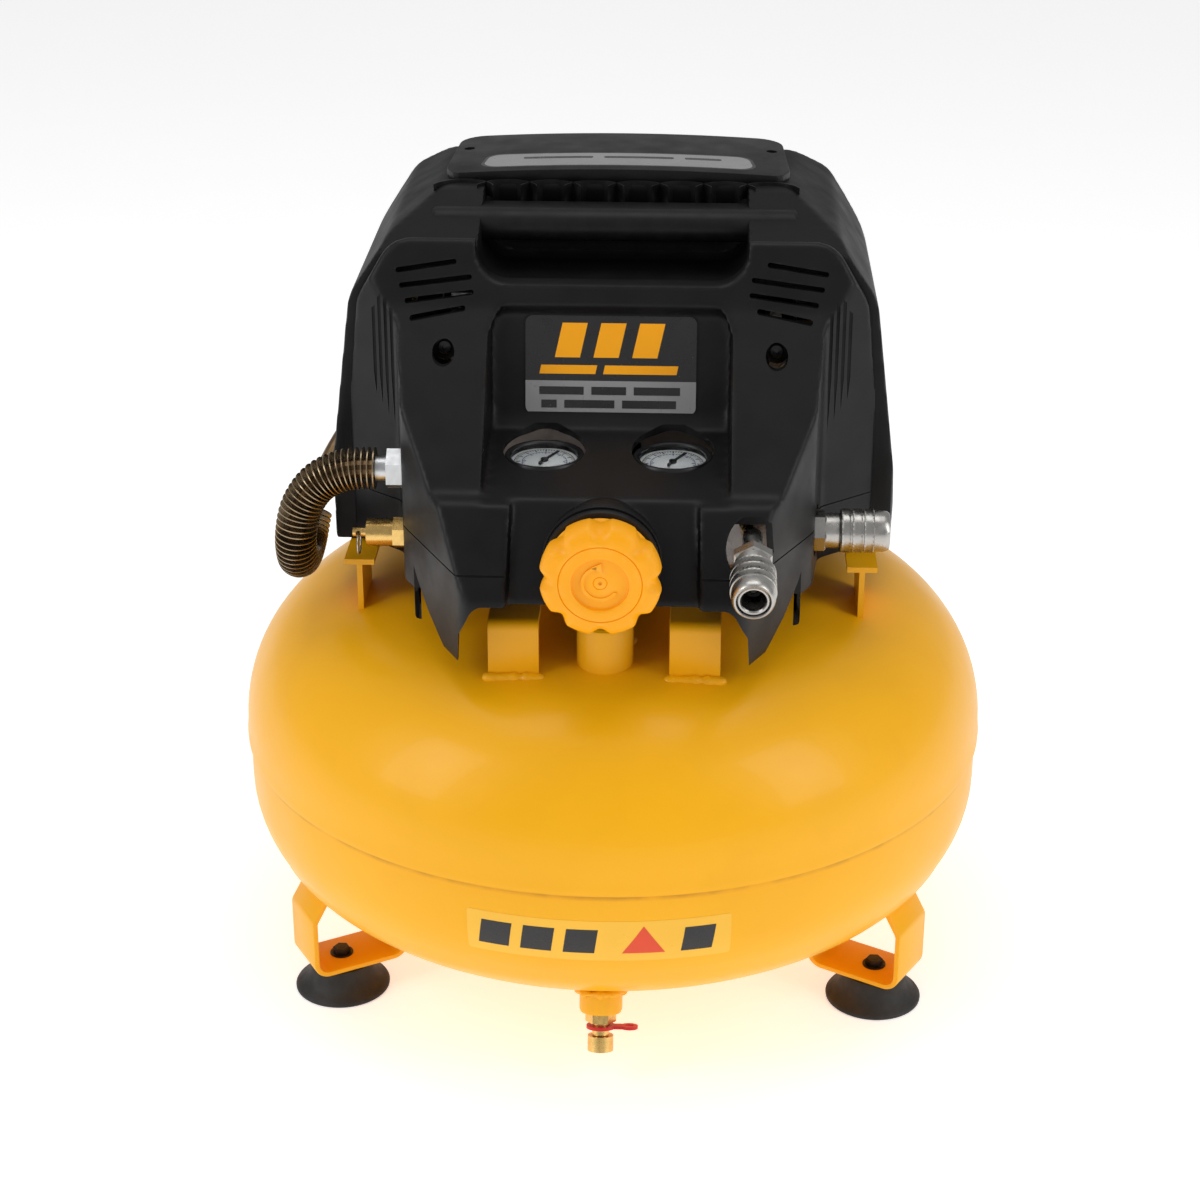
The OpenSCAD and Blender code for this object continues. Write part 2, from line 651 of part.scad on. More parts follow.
module pipe(p, d, per_point = 3, sides = 12) {
    steps = [for (i = [0:(len(p) - 1) * per_point]) i / per_point];
    sweep([for (t = steps) curve(p, t)], [for (t = steps) heading(p, t)], d / 2, sides);
}
module transfer_tube() {
    color("peru") pipe(tube_path, pipe_d);
}
fin_t = 0.6;
fin_first = 1.2;    // place of the first fin along the pipe's points
fin_last = 8.8;
fin_count = 48;
module tube_fins() {
    color("tan") for (k = [0:fin_count - 1]) {
        t = fin_first + (fin_last - fin_first) * k / (fin_count - 1);
        v = heading(tube_path, t);
        translate(curve(tube_path, t)) rotate([0, acos(v.z), atan2(v.y, v.x)]) difference() {
            cylinder(h = fin_t, d = fin_d, center = true, $fn = 32);
            cylinder(h = fin_t + 1, d = pipe_d + 0.6, center = true, $fn = 32);
        }
    }
}
module tube_nut() {
    color("white") difference() {
        union() {
            translate([nut_x, man_y, check_z]) rotate([0, -90, 0]) cylinder(h = 9, d = 19 * hex_round, $fn = 6);
            bar_x(nut_x - 15, nut_x - 9 + tiny, man_y, check_z, 13);
        }
        bar_x(nut_x - 16, nut_x + 1, man_y, check_z, pipe_d);
    }
}
module check_valve() {
    color("goldenrod") difference() {
        union() {
            box([-man_half, man_y - 12, man_z1], [-man_half + 20, man_y + 12, check_z + 12]);
            bar_x(nut_x, -man_half + tiny, man_y, check_z, 17);
        }
        bar_x(-107, -99 + tiny, man_y, check_z, pipe_d);
    }
}

// ---- Switch and cable gland, rear ----
switch_x = 42;
rear_y = 160;
module pressure_switch() {
    color("black") box([switch_x - 20, rear_y - 21, axis_z - 20], [switch_x + 20, rear_y - shell_t - 3, axis_z + 20]);
}
rocker_z = axis_z;
rocker_half = 10;
module switch_rocker() {
    color("red") difference() {
        translate([switch_x, rear_y + 3, rocker_z]) rotate([90, 0, 90]) linear_extrude(22, center = true)
            polygon([[-4, -rocker_half], [2, -rocker_half], [0, 0], [2, rocker_half], [-4, rocker_half]]);
        translate([switch_x - 12, rear_y + 1, rocker_z]) rotate([0, 90, 0]) cylinder(h = 24, d = 1.2, $fn = 16);
    }
}
gland_x = -42;
gland_z = axis_z - 20;
module cable_gland() {
    color("black") translate([gland_x, rear_y - shell_t - 5, gland_z]) rotate([-90, 0, 0]) difference() {
        union() {
            cylinder(h = shell_t + 6, d = 14);
            translate([0, 0, shell_t + 5]) cylinder(h = 10, d = 20 * hex_round, $fn = 6);
            cylinder(h = 4, d = 20);
        }
        translate([0, 0, -1]) cylinder(h = 30, d = 8);
    }
}

// ---- Shroud ----
// A slot with round ends from a to b, standing along +Z
module slot(a, b, w, depth) {
    hull() for (p = [a, b]) translate([p.x, p.y, 0]) cylinder(h = depth, d = w, $fn = 16);
}
split_y = -22;
skirt_z = 229;
lip_z = 263;
front_half = 140;
recess_half = 62;
front_yz = [[-149, skirt_z], [split_y, skirt_z], [split_y, 414], [-27, 414], [-40, 384], [-113, 308.5], [-122, 306.5],
    [-151, 266]];
front_xy = [[-68, -153], [68, -153], [106, -80], [110, -46], [front_half, split_y],
    [-front_half, split_y], [-110, -46], [-106, -80]];
front_xz = [[-150, skirt_z], [150, skirt_z], [133, 382], [114, 414], [-114, 414], [-133, 382]];
recess_yz = [[-124, 305.3], [-52, 320.3], [-45, 328], [-37, 378], [-42, 387], [-124, 387]];
mouth_z = 393;
rear_xy = [[-150, split_y], [150, split_y], [156, 40], [132, 128], [80, rear_y], [-80, rear_y], [-132, 128], [-156, 40]];
rear_xz = [[-156, 244], [156, 244], [138, 382], [118, 411], [94, 425], [-94, 425], [-118, 411], [-138, 382]];
rear_yz = [[split_y, 244], [rear_y, 244], [rear_y, 370], [132, 425], [34, 425], [split_y, 406]];
pocket_z = 388;
pocket_y = 44;
module lower(p, z, d) { polygon([for (q = p) q.y < z + 1 ? [q.x, q.y - d] : q]); }
module front_form(d) {
    drop = d > 0 ? 12 : 0;
    intersection() {
        along_x(2 * front_half + 2) lower(inset(front_yz, d), skirt_z + d, drop);
        translate([0, 0, skirt_z - 20]) linear_extrude(240) polygon(inset(front_xy, d));
        translate([0, -90, 0]) rotate([90, 0, 0]) linear_extrude(200, center = true)
            lower(inset(front_xz, d), skirt_z + d, drop);
    }
}
boss_l = 62;
module regulator_boss(d) {
    at_regulator() translate([0, 0, bonnet_x1 - boss_l]) cylinder(h = boss_l - d, d1 = knob_d - 22 - 2 * d, d2 = knob_d - 2 - 2 * d);
}
module front_cover() {
    color([0.1, 0.1, 0.1]) difference() {
        union() {
            difference() {
                front_form(0);
                along_x(2 * recess_half) polygon(recess_yz);
            }
            regulator_boss(0);
        }
        regulator_boss(shell_t);
        // mouth of the handle's opening
        box([-grip_w / 2, -60, mouth_z], [grip_w / 2, split_y + 1, 440]);
        difference() {
            union() {
                front_form(shell_t);
                translate([0, shell_t + 2, 0]) intersection() {
                    front_form(shell_t);
                    box([-200, split_y - 12, 0], [200, split_y, 500]);
                }
            }
            along_x(2 * recess_half + 2 * shell_t) polygon(inset(recess_yz, -shell_t));
            box([-grip_w / 2 - shell_t, -60, mouth_z - shell_t], [grip_w / 2 + shell_t, split_y + 2, 440]);
        }
        // lower edge: high in the middle and behind the corner skirts
        box([-recess_half - 6, -170, 200], [recess_half + 6, -60, lip_z]);
        box([-200, -92, 200], [200, split_y + 1, 247]);
        for (side = [0, 1]) mirror([side, 0, 0]) translate([0, -92, 0]) rotate([90, 0, 0]) linear_extrude(80)
            polygon([[81, 200], [150, 200], [150, 264], [101, 264], [93, 244], [81, 229]]);
        // holes for the fittings
        at_regulator() translate([0, 0, -40]) cylinder(h = 30, d = bonnet_d + 1);
        for (x = [-gauge_x, gauge_x]) translate([x, gauge_y, 290]) cylinder(h = 60, d = gauge_d + 1);
        at_outlet() translate([0, 0, -66]) cylinder(h = 46, d = sleeve_d + 3);
        bar_x(-140, -88, man_y, safety_z, 22);
        bar_x(-140, -88, man_y, check_z + 2, 26);
        bar_x(88, 140, man_y, coupler_z, 27);
        // air slots and screw recesses on the shoulders
        for (side = [-1, 1], i = [0:3]) translate([side * 90, -60, 380 + i * 8]) rotate([-90, 0, 0])
            slot([-side * 13, 2.5], [side * 13, -2.5], 3, 60);
        for (side = [-1, 1]) translate([side * 80, -60, 366]) rotate([-90, 0, 0]) cylinder(h = 30, d = 9);
    }
}
module rear_form(d) {
    intersection() {
        along_x(400) lower(inset(rear_yz, d), 244 + d, d > 0 ? 12 : 0);
        translate([0, 0, 200]) linear_extrude(260) polygon(inset(rear_xy, d));
        translate([0, 60, 0]) rotate([90, 0, 0]) linear_extrude(400, center = true) lower(inset(rear_xz, d), 244 + d, d > 0 ? 12 : 0);
    }
}
module rear_cover() {
    color([0.1, 0.1, 0.1]) difference() {
        rear_form(0);
        difference() {
            rear_form(shell_t);
            box([-grip_w / 2 - shell_t, split_y - 1, pocket_z - shell_t], [grip_w / 2 + shell_t, pocket_y + shell_t, 440]);
        }
        // the opening to the front cover, and the well of the handle
        box([-front_half + shell_t, split_y - 1, 200], [front_half - shell_t, split_y + shell_t + 1, pocket_z - shell_t]);
        box([-grip_w / 2, split_y - 1, pocket_z], [grip_w / 2, pocket_y, 440]);
        // pipe, switch and gland
        translate([-175, -12, 262]) rotate([90, 0, 90]) slot([0, 0], [52, 44], pipe_d + 8, 45);
        box([switch_x - 12, rear_y - 10, rocker_z - rocker_half - 1], [switch_x + 12, rear_y + 2, rocker_z + rocker_half + 1]);
        translate([gland_x, rear_y + 1, gland_z]) rotate([90, 0, 0]) cylinder(h = 8, d = 14.2);
        // cooling slots on both sides and at the back
        for (side = [-1, 1], i = [0:6]) translate([side * 140 - 30, 42 + i * 10, 0]) rotate([90, 0, 90])
            slot([0, 290], [0, 350], 4, 60);
        for (i = [-7:7]) translate([i * 9, rear_y + 2, 0]) rotate([90, 0, 0]) slot([0, 340], [0, 362], 4, 14);
        // screw holes of the cap
        for (x = [-84, 84]) translate([x, 100, 420]) cylinder(h = 10, d = 4);
    }
}
cap_z0 = 425;
cap_z1 = 432;
module top_cap() {
    color([0.1, 0.1, 0.1]) difference() {
        translate([0, 0, cap_z0]) linear_extrude(cap_z1 - cap_z0)
            polygon([[-88, 48], [88, 48], [93, 60], [90, 128], [-90, 128], [-93, 60]]);
        for (x = [-84, 84]) translate([x, 100, cap_z0 - 1]) cylinder(h = 10, d = 6);
    }
}
module handle_bar() {
    color([0.1, 0.1, 0.1]) along_x(grip_w) polygon(concat([[32, 404], [32, 424], [18, 424]],
        arc([16, 414], 10, 100, 260, 8)));
}
module vent_grille() {
    arches = 6;
    pitch = grip_w / arches;
    rib = 1.6;
    color([0.1, 0.1, 0.1]) translate([-grip_w / 2, 32, 415]) {
        for (i = [0:arches - 1]) translate([i * pitch, 0, 0]) linear_extrude(9)
            polygon([[0, 0], [rib, 0], [pitch / 2, 10], [pitch - rib, 0], [pitch, 0], [pitch / 2 + rib, 12], [pitch / 2 - rib, 12]]);
    }
}

tank_upper();
tank_lower();
tank_bungs();
leg_left();
leg_right();
leg_rear();
feet();
foot_screws();
drain_valve();
drain_knob();
drain_tether();
pump_rails();
cover_brackets();
rubber_mounts();
motor_plate();
motor_stator();
motor_windings();
rotor_core();
crankshaft();
shaft_bearings();
end_bracket();
crankcase();
piston_rod();
cylinder_sleeve();
valve_plate();
cylinder_head();
head_bolts();
cooling_fan();
intake_filter();
transfer_tube();
tube_fins();
tube_nut();
check_valve();
manifold();
air_pipes();
regulator_body();
regulator_spring();
regulator_stem();
regulator_collar();
regulator_knob();
gauge_cases();
gauge_needle_left();
gauge_needle_right();
gauge_lenses();
safety_valve();
safety_pin();
safety_ring();
coupler_side();
sleeve_side();
coupler_front();
sleeve_front();
pressure_switch();
switch_rocker();
cable_gland();
front_cover();
rear_cover();
top_cap();
handle_bar();
vent_grille();
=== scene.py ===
"""The look of a pancake air compressor: painted tank, moulded shroud, fittings, gauges and feet."""

import json
import math

import bpy
from mathutils import Matrix, Vector


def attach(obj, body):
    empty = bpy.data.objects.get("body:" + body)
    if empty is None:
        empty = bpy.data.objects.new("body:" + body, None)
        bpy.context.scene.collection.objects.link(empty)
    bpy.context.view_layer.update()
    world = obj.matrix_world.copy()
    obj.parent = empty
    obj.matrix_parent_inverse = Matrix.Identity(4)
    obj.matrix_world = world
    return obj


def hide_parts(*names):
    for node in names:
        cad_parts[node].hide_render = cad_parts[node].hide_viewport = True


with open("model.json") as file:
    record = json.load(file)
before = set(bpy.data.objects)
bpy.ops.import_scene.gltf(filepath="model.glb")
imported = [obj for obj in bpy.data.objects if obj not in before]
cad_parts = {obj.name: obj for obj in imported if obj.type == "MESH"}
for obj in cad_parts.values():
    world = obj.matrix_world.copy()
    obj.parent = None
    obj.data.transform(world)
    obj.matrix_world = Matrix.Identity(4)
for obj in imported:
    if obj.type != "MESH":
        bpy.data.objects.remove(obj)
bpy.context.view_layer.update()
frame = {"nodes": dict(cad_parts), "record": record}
MM = 0.001

# ---------------------------------------------------------------- working by hand


def pick(*objs):
    if bpy.context.object and bpy.context.object.mode != "OBJECT":
        bpy.ops.object.mode_set(mode="OBJECT")
    bpy.ops.object.select_all(action="DESELECT")
    for obj in objs:
        obj.select_set(True)
    bpy.context.view_layer.objects.active = objs[0]
    return objs[0]


def edit(obj):
    pick(obj)
    bpy.ops.object.mode_set(mode="EDIT")
    bpy.ops.mesh.select_all(action="SELECT")


def done(obj):
    bpy.ops.object.mode_set(mode="OBJECT")
    return obj


def modify(obj, kind, **settings):
    pick(obj)
    bpy.ops.object.modifier_add(type=kind)
    mod = obj.modifiers[-1]
    for key, value in settings.items():
        setattr(mod, key, value)
    bpy.ops.object.modifier_apply(modifier=mod.name)
    return obj


def outward(obj):
    edit(obj)
    bpy.ops.mesh.normals_make_consistent(inside=False)
    return done(obj)


def lathe(name, rings, sides=64, cap_start=True, cap_end=True):
    """A turned shape about Z from (radius, height) pairs in mm."""
    r, z = rings[0]
    r = max(r, 0.01)
    bpy.ops.mesh.primitive_circle_add(vertices=sides, radius=r * MM, fill_type="NOTHING",
                                      location=(0, 0, z * MM))
    obj = bpy.context.object
    obj.name = name
    bpy.ops.object.transform_apply(location=True)
    edit(obj)
    if cap_start:
        bpy.ops.mesh.edge_face_add()
        bpy.ops.mesh.select_all(action="DESELECT")
        bpy.ops.mesh.select_mode(type="EDGE")
        bpy.ops.mesh.select_all(action="SELECT")
        done(obj)
        for poly in obj.data.polygons:
            poly.select = False
        bpy.ops.object.mode_set(mode="EDIT")
        bpy.ops.mesh.select_mode(type="VERT")
        bpy.ops.mesh.select_all(action="SELECT")
        bpy.ops.mesh.select_mode(type="EDGE")
    for r1, z1 in rings[1:]:
        r1 = max(r1, 0.01)
        bpy.ops.mesh.extrude_edges_move(TRANSFORM_OT_translate={"value": (0, 0, (z1 - z) * MM)})
        bpy.ops.transform.resize(value=(r1 / r, r1 / r, 1), center_override=(0, 0, 0))
        r, z = r1, z1
    if cap_end:
        bpy.ops.mesh.edge_face_add()
    bpy.ops.mesh.select_mode(type="VERT")
    bpy.ops.mesh.select_all(action="SELECT")
    bpy.ops.mesh.remove_doubles(threshold=0.00002)
    bpy.ops.mesh.normals_make_consistent(inside=False)
    return done(obj)


def slab(name, outline, axis, lo, hi):
    """An outline in mm, extruded along an axis. Its pairs are the other two axes in order."""
    bpy.ops.mesh.primitive_circle_add(vertices=len(outline), radius=1, fill_type="NGON",
                                      location=(0, 0, 0))
    obj = bpy.context.object
    obj.name = name
    spot = {"x": lambda a, b: (lo, a, b), "y": lambda a, b: (a, lo, b), "z": lambda a,
            b: (a, b, lo)}[axis]
    for vert, point in zip(obj.data.vertices, outline):
        vert.co = Vector(spot(point[0], point[1])) * MM
    step = Vector([(hi - lo) * MM if axis == a else 0 for a in "xyz"])
    edit(obj)
    bpy.ops.mesh.extrude_region_move(TRANSFORM_OT_translate={"value": step})
    bpy.ops.mesh.select_all(action="SELECT")
    bpy.ops.mesh.normals_make_consistent(inside=False)
    return done(obj)


def block(name, lo, hi, bevel=0.0, segments=3):
    centre = [(a + b) / 2 * MM for a, b in zip(lo, hi)]
    bpy.ops.mesh.primitive_cube_add(size=1, location=centre)
    obj = bpy.context.object
    obj.name = name
    obj.scale = [(b - a) * MM for a, b in zip(lo, hi)]
    bpy.ops.object.transform_apply(location=True, rotation=True, scale=True)
    if bevel:
        edge(obj, bevel, segments)
    return obj


def rod(name, start, end, d, sides=32):
    """A straight round bar between two places in mm."""
    a, b = Vector(start) * MM, Vector(end) * MM
    bpy.ops.mesh.primitive_cylinder_add(vertices=sides, radius=d / 2 * MM, depth=(b - a).length,
                                        location=(a + b) / 2,
                                        rotation=(b - a).to_track_quat("Z", "Y").to_euler())
    obj = bpy.context.object
    obj.name = name
    bpy.ops.object.transform_apply(location=True, rotation=True, scale=True)
    return obj


def edge(obj, width, segments=3, angle=30):
    return modify(obj, "BEVEL", width=width * MM, segments=segments, limit_method="ANGLE",
                  angle_limit=math.radians(angle),
                  harden_normals=False, use_clamp_overlap=True)


def place(obj, matrix):
    obj.matrix_world = matrix
    pick(obj)
    bpy.ops.object.transform_apply(location=True, rotation=True, scale=True)
    return obj


def at(x, y, z, rx=0, ry=0, rz=0):
    spin = Matrix.Rotation(math.radians(rz), 4, "Z") @ Matrix.Rotation(math.radians(ry), 4,
            "Y") @ Matrix.Rotation(math.radians(rx), 4, "X")
    return Matrix.Translation(Vector((x, y, z)) * MM) @ spin


def carve(obj, *tools, operation="DIFFERENCE"):
    """Cuts, joins or intersects with tools, which go away."""
    for tool in tools:
        before = len(obj.data.vertices)
        modify(obj, "BOOLEAN", operation=operation, object=tool, solver="MANIFOLD")
        if len(obj.data.vertices) in (0, before):
            modify(obj, "BOOLEAN", operation=operation, object=tool, solver="EXACT")
        bpy.data.objects.remove(tool, do_unlink=True)
    return obj


def join(name, objs):
    pick(*objs)
    bpy.ops.object.join()
    obj = bpy.context.object
    obj.name = name
    return obj


def smooth(obj, angle=35):
    pick(obj)
    bpy.ops.object.shade_smooth_by_angle(angle=math.radians(angle))
    return obj


def melt(obj, voxel, passes, factor=0.5):
    """Rounds a form as a mould would: even small faces, then smoothed."""
    obj.data.remesh_voxel_size = voxel * MM
    obj.data.remesh_voxel_adaptivity = 0
    pick(obj)
    bpy.ops.object.voxel_remesh()
    return modify(obj, "SMOOTH", factor=factor, iterations=passes)


def wear(obj):
    """Stores how far each point stands proud of its neighbours, for scuffed edges."""
    mesh = obj.data
    total = [0.0] * len(mesh.vertices)
    count = [0] * len(mesh.vertices)
    for e in mesh.edges:
        a, b = (mesh.vertices[i] for i in e.vertices)
        way = (b.co - a.co).normalized()
        total[a.index] -= way.dot(a.normal)
        total[b.index] += way.dot(b.normal)
        count[a.index] += 1
        count[b.index] += 1
    layer = mesh.attributes.new("edge", "FLOAT", "POINT")
    layer.data.foreach_set("value", [max(0.0, t / max(c, 1)) for t, c in zip(total, count)])
    return obj


def fillet(points, default=0.0, steps=6):
    """An outline with round corners: each point is (a, b) or (a, b, radius)."""
    out = []
    for i, p in enumerate(points):
        r = p[2] if len(p) > 2 else default
        here, back, on = (Vector(q[:2]) for q in (p, points[i - 1], points[(i + 1) % len(points)]))
        u, v = back - here, on - here
        reach = 0.46 * min(u.length, v.length)
        u.normalize()
        v.normalize()
        half = math.acos(max(-1, min(1, u.dot(v)))) / 2
        if r <= 0 or half > 1.55:
            out.append(here)
            continue
        run = min(r / math.tan(half), reach)
        r = run * math.tan(half)
        centre = here + (u + v).normalized() * (r / math.sin(half))
        a, b = here + u * run - centre, here + v * run - centre
        start = math.atan2(a.y, a.x)
        sweep = (math.atan2(b.y, b.x) - start + math.pi) % (2 * math.pi) - math.pi
        out += [centre + r * Vector((math.cos(start + sweep * k / steps),
                                     math.sin(start + sweep * k / steps))) for k in range(steps + 1)]
    return out


def inset(points, d):
    """Moves each edge of a counter-clockwise outline inwards."""
    out = []
    for i, p in enumerate(points):
        here, back, on = (Vector(q[:2]) for q in (p, points[i - 1], points[(i + 1) % len(points)]))
        u, v = (here - back).normalized(), (on - here).normalized()
        m, n = Vector((-u.y, u.x)), Vector((-v.y, v.x))
        moved = here + d * (m + n) / (1 + m.dot(n))
        out.append((moved.x, moved.y, *p[2:]))
    return out


def arc(cx, cy, r, a0, a1, steps=8):
    return [(cx + r * math.cos(math.radians(a0 + (a1 - a0) * i / steps)),
             cy + r * math.sin(math.radians(a0 + (a1 - a0) * i / steps)))
            for i in range(steps + 1)]


def bar(name, a, b, width, axis, lo, hi):
    """A straight slot or bar with round ends between two points of an outline."""
    a, b = Vector(a), Vector(b)
    turn = math.degrees(math.atan2(b.y - a.y, b.x - a.x))
    return slab(name, arc(b.x, b.y, width / 2, turn - 90, turn + 90, 6) + arc(a.x, a.y, width / 2,
            turn + 90, turn + 270, 6), axis, lo, hi)


def keep(obj, material, body="chassis", stands_for=()):
    obj.data.materials.clear()
    obj.data.materials.append(material)
    obj.data.polygons.foreach_set("material_index", [0] * len(obj.data.polygons))
    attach(obj, body)
    if stands_for:
        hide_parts(*stands_for)
    return obj


# ---------------------------------------------------------------- materials


def finish(name, colour, rough, metallic=0.0, vary=0.12, patch=9.0, rough_vary=0.08, grain=900.0,
           bump=0.1, bump_depth=0.0002,
           scuff=None, scuff_amount=0.0, dust=None, dust_amount=0.0, coat=0.0, specular=0.5,
           stretch=(1, 1, 1), extra=None):
    """Colour variation, uneven gloss, fine relief and worn edges or dust, all in the object's own space."""
    mat = bpy.data.materials.new(name)
    mat.use_nodes = True
    nodes, links = mat.node_tree.nodes, mat.node_tree.links
    shader = nodes["Principled BSDF"]
    coords = nodes.new("ShaderNodeTexCoord")
    mapping = nodes.new("ShaderNodeMapping")
    mapping.inputs["Scale"].default_value = stretch
    links.new(coords.outputs["Object"], mapping.inputs["Vector"])

    def noise(scale, detail=4.0, stretched=False):
        node = nodes.new("ShaderNodeTexNoise")
        node.inputs["Scale"].default_value = scale
        node.inputs["Detail"].default_value = detail
        links.new(mapping.outputs["Vector"] if stretched else coords.outputs["Object"],
                  node.inputs["Vector"])
        return node.outputs["Fac"]

    def ramp(value, lo, hi, out_lo, out_hi):
        node = nodes.new("ShaderNodeMapRange")
        for key, number in zip(("From Min", "From Max", "To Min", "To Max"), (lo, hi, out_lo, out_hi)):
            node.inputs[key].default_value = number
        links.new(value, node.inputs["Value"])
        return node.outputs["Result"]

    def times(a, b):
        node = nodes.new("ShaderNodeMath")
        node.operation = "MULTIPLY"
        links.new(a, node.inputs[0])
        links.new(b, node.inputs[1])
        return node.outputs["Value"]

    def blend(amount, a, b):
        node = nodes.new("ShaderNodeMix")
        node.data_type = "RGBA"
        links.new(amount, node.inputs["Factor"])
        for socket, value in (("A", a), ("B", b)):
            target = next(s for s in node.inputs if s.name == socket and s.type == "RGBA")
            if isinstance(value, tuple):
                target.default_value = (*value, 1)
            else:
                links.new(value, target)
        return next(s for s in node.outputs if s.type == "RGBA")

    low = tuple(c * (1 - vary) for c in colour)
    high = tuple(min(1.0, c * (1 + vary)) for c in colour)
    mixed = noise(patch, 5)
    base = blend(ramp(mixed, 0.3, 0.7, 0, 1), low, high)
    roughness = ramp(noise(patch * 5, 6, True), 0.3, 0.7, rough - rough_vary, rough + rough_vary)
    if scuff:
        node = nodes.new("ShaderNodeAttribute")
        node.attribute_name = "edge"
        rubbed = times(ramp(node.outputs["Fac"], 0.04, 0.3, 0, scuff_amount),
                       ramp(noise(140, 5), 0.42, 0.62, 0, 1))
        base = blend(rubbed, base, scuff)
    if dust:
        base = blend(ramp(noise(34, 8), 0.52, 0.8, 0, dust_amount), base, dust)
    if extra:
        base = extra(nodes, links, coords, base, blend, ramp, noise, times)
    links.new(base, shader.inputs["Base Color"])
    links.new(roughness, shader.inputs["Roughness"])
    shader.inputs["Metallic"].default_value = metallic
    shader.inputs["Coat Weight"].default_value = coat
    shader.inputs["Coat Roughness"].default_value = 0.08
    shader.inputs["Specular IOR Level"].default_value = specular
    relief = nodes.new("ShaderNodeBump")
    relief.inputs["Strength"].default_value = bump
    relief.inputs["Distance"].default_value = bump_depth
    links.new(noise(grain, 3, True), relief.inputs["Height"])
    links.new(relief.outputs["Normal"], shader.inputs["Normal"])
    return mat


def painted_shade_at_height(z, spread, colour, amount):
    """Painted shade that gathers around a height, such as the shadow under a rim, mottled by noise."""
    def add(nodes, links, coords, base, blend, ramp, noise, times):
        split = nodes.new("ShaderNodeSeparateXYZ")
        links.new(coords.outputs["Object"], split.inputs["Vector"])
        away = nodes.new("ShaderNodeMath")
        away.operation = "SUBTRACT"
        away.inputs[1].default_value = z * MM
        links.new(split.outputs["Z"], away.inputs[0])
        size = nodes.new("ShaderNodeMath")
        size.operation = "ABSOLUTE"
        links.new(away.outputs["Value"], size.inputs[0])
        close = ramp(size.outputs["Value"], 0, spread * MM, amount, 0)
        return blend(times(close, ramp(noise(60, 6), 0.35, 0.65, 0.2, 1)), base, colour)
    return add


BLACK = (0.0042, 0.0042, 0.0048)
# The tank paint darkens a band at 130.5 mm, just under the upper shell's lip at the seam: the painted shadow
# of the overlap.
paint = finish("tank_powder_coat", (0.95, 0.455, 0.003), 0.36, vary=0.035, patch=6, rough_vary=0.05,
               grain=210, bump=0.10,
               bump_depth=0.0006, coat=0.08, specular=0.3, dust=(0.70, 0.31, 0.003), dust_amount=0.10,
               extra=painted_shade_at_height(130.5, 2.2, (0.42, 0.19, 0.01), 0.55))
weld_paint = finish("painted_weld", (0.95, 0.45, 0.003), 0.36, vary=0.06, patch=70, grain=330, bump=0.5,
                    bump_depth=0.0008, coat=0.08, specular=0.3)
shroud = finish("shroud_moulded_plastic", BLACK, 0.43, vary=0.25, patch=12, rough_vary=0.06, grain=2600,
                bump=0.22,
                bump_depth=0.00012, scuff=(0.03, 0.03, 0.031), scuff_amount=0.4,
                dust=(0.009, 0.0088, 0.0085), dust_amount=0.35,
                specular=0.24)
# A darker, rougher copy of the shroud plastic for the rear cover. Its darker colour is painted shade on the
# rear part that stands behind the front cover.
shroud_shaded = finish("rear_shell_plastic_shaded", (0.0036, 0.0036, 0.0040), 0.5, vary=0.25, patch=12,
                     rough_vary=0.06, grain=2200, bump=0.25,
                     bump_depth=0.00014, scuff=(0.03, 0.03, 0.03), scuff_amount=0.4,
                     dust=(0.008, 0.008, 0.008), dust_amount=0.35,
                     specular=0.2)
knob_yellow = finish("knob_moulded_plastic", (1.0, 0.40, 0.003), 0.40, specular=0.3, vary=0.03, patch=30,
                     grain=1400, bump=0.12, bump_depth=0.00015,
                     scuff=(1.0, 0.55, 0.10), scuff_amount=0.25, dust=(0.75, 0.27, 0.01),
                     dust_amount=0.12)
rubber = finish("foot_rubber", (0.014, 0.014, 0.014), 0.62, vary=0.3, patch=40, grain=1500, bump=0.35,
                bump_depth=0.0003,
                dust=(0.05, 0.048, 0.045), dust_amount=0.4)
nickel = finish("nickel_plate", (0.46, 0.445, 0.42), 0.30, metallic=1.0, vary=0.08, patch=60, grain=1800,
                bump=0.12, bump_depth=0.0001,
                scuff=(0.86, 0.85, 0.82), scuff_amount=0.6, dust=(0.36, 0.34, 0.31), dust_amount=0.35)
zinc = finish("zinc_plate", (0.60, 0.61, 0.62), 0.36, metallic=1.0, vary=0.1, patch=80, grain=1500,
              bump=0.15, bump_depth=0.0001,
              dust=(0.45, 0.43, 0.40), dust_amount=0.3)
black_steel = finish("black_oxide_steel", (0.03, 0.03, 0.032), 0.36, metallic=0.7, vary=0.3, patch=70,
                     grain=1300, bump=0.2,
                     dust=(0.09, 0.085, 0.08), dust_amount=0.4)
brass = finish("machined_brass", (0.76, 0.50, 0.17), 0.26, metallic=1.0, vary=0.12, patch=80,
               rough_vary=0.1, grain=1400, bump=0.15,
               bump_depth=0.0001, dust=(0.36, 0.20, 0.07), dust_amount=0.5)
red = finish("red_soft_plastic", (0.62, 0.012, 0.010), 0.42, vary=0.12, patch=60, grain=1500, bump=0.2,
             dust=(0.4, 0.02, 0.015), dust_amount=0.3)
black_plastic = finish("black_plastic", (0.014, 0.014, 0.015), 0.38, vary=0.25, patch=50, grain=1800,
                       bump=0.2, dust=(0.03, 0.03, 0.03), dust_amount=0.3)
steel = finish("ground_steel", (0.56, 0.57, 0.58), 0.32, metallic=1.0, vary=0.1, patch=60, grain=900,
               bump=0.2, stretch=(1, 1, 9))
copper = finish("enamelled_copper", (0.62, 0.22, 0.06), 0.30, metallic=0.8, vary=0.15, patch=90,
                grain=800, bump=0.6, stretch=(1, 6, 6))
cast = finish("cast_aluminium", (0.46, 0.46, 0.47), 0.5, metallic=0.9, vary=0.12, patch=40, grain=900,
              bump=0.5, bump_depth=0.0004)
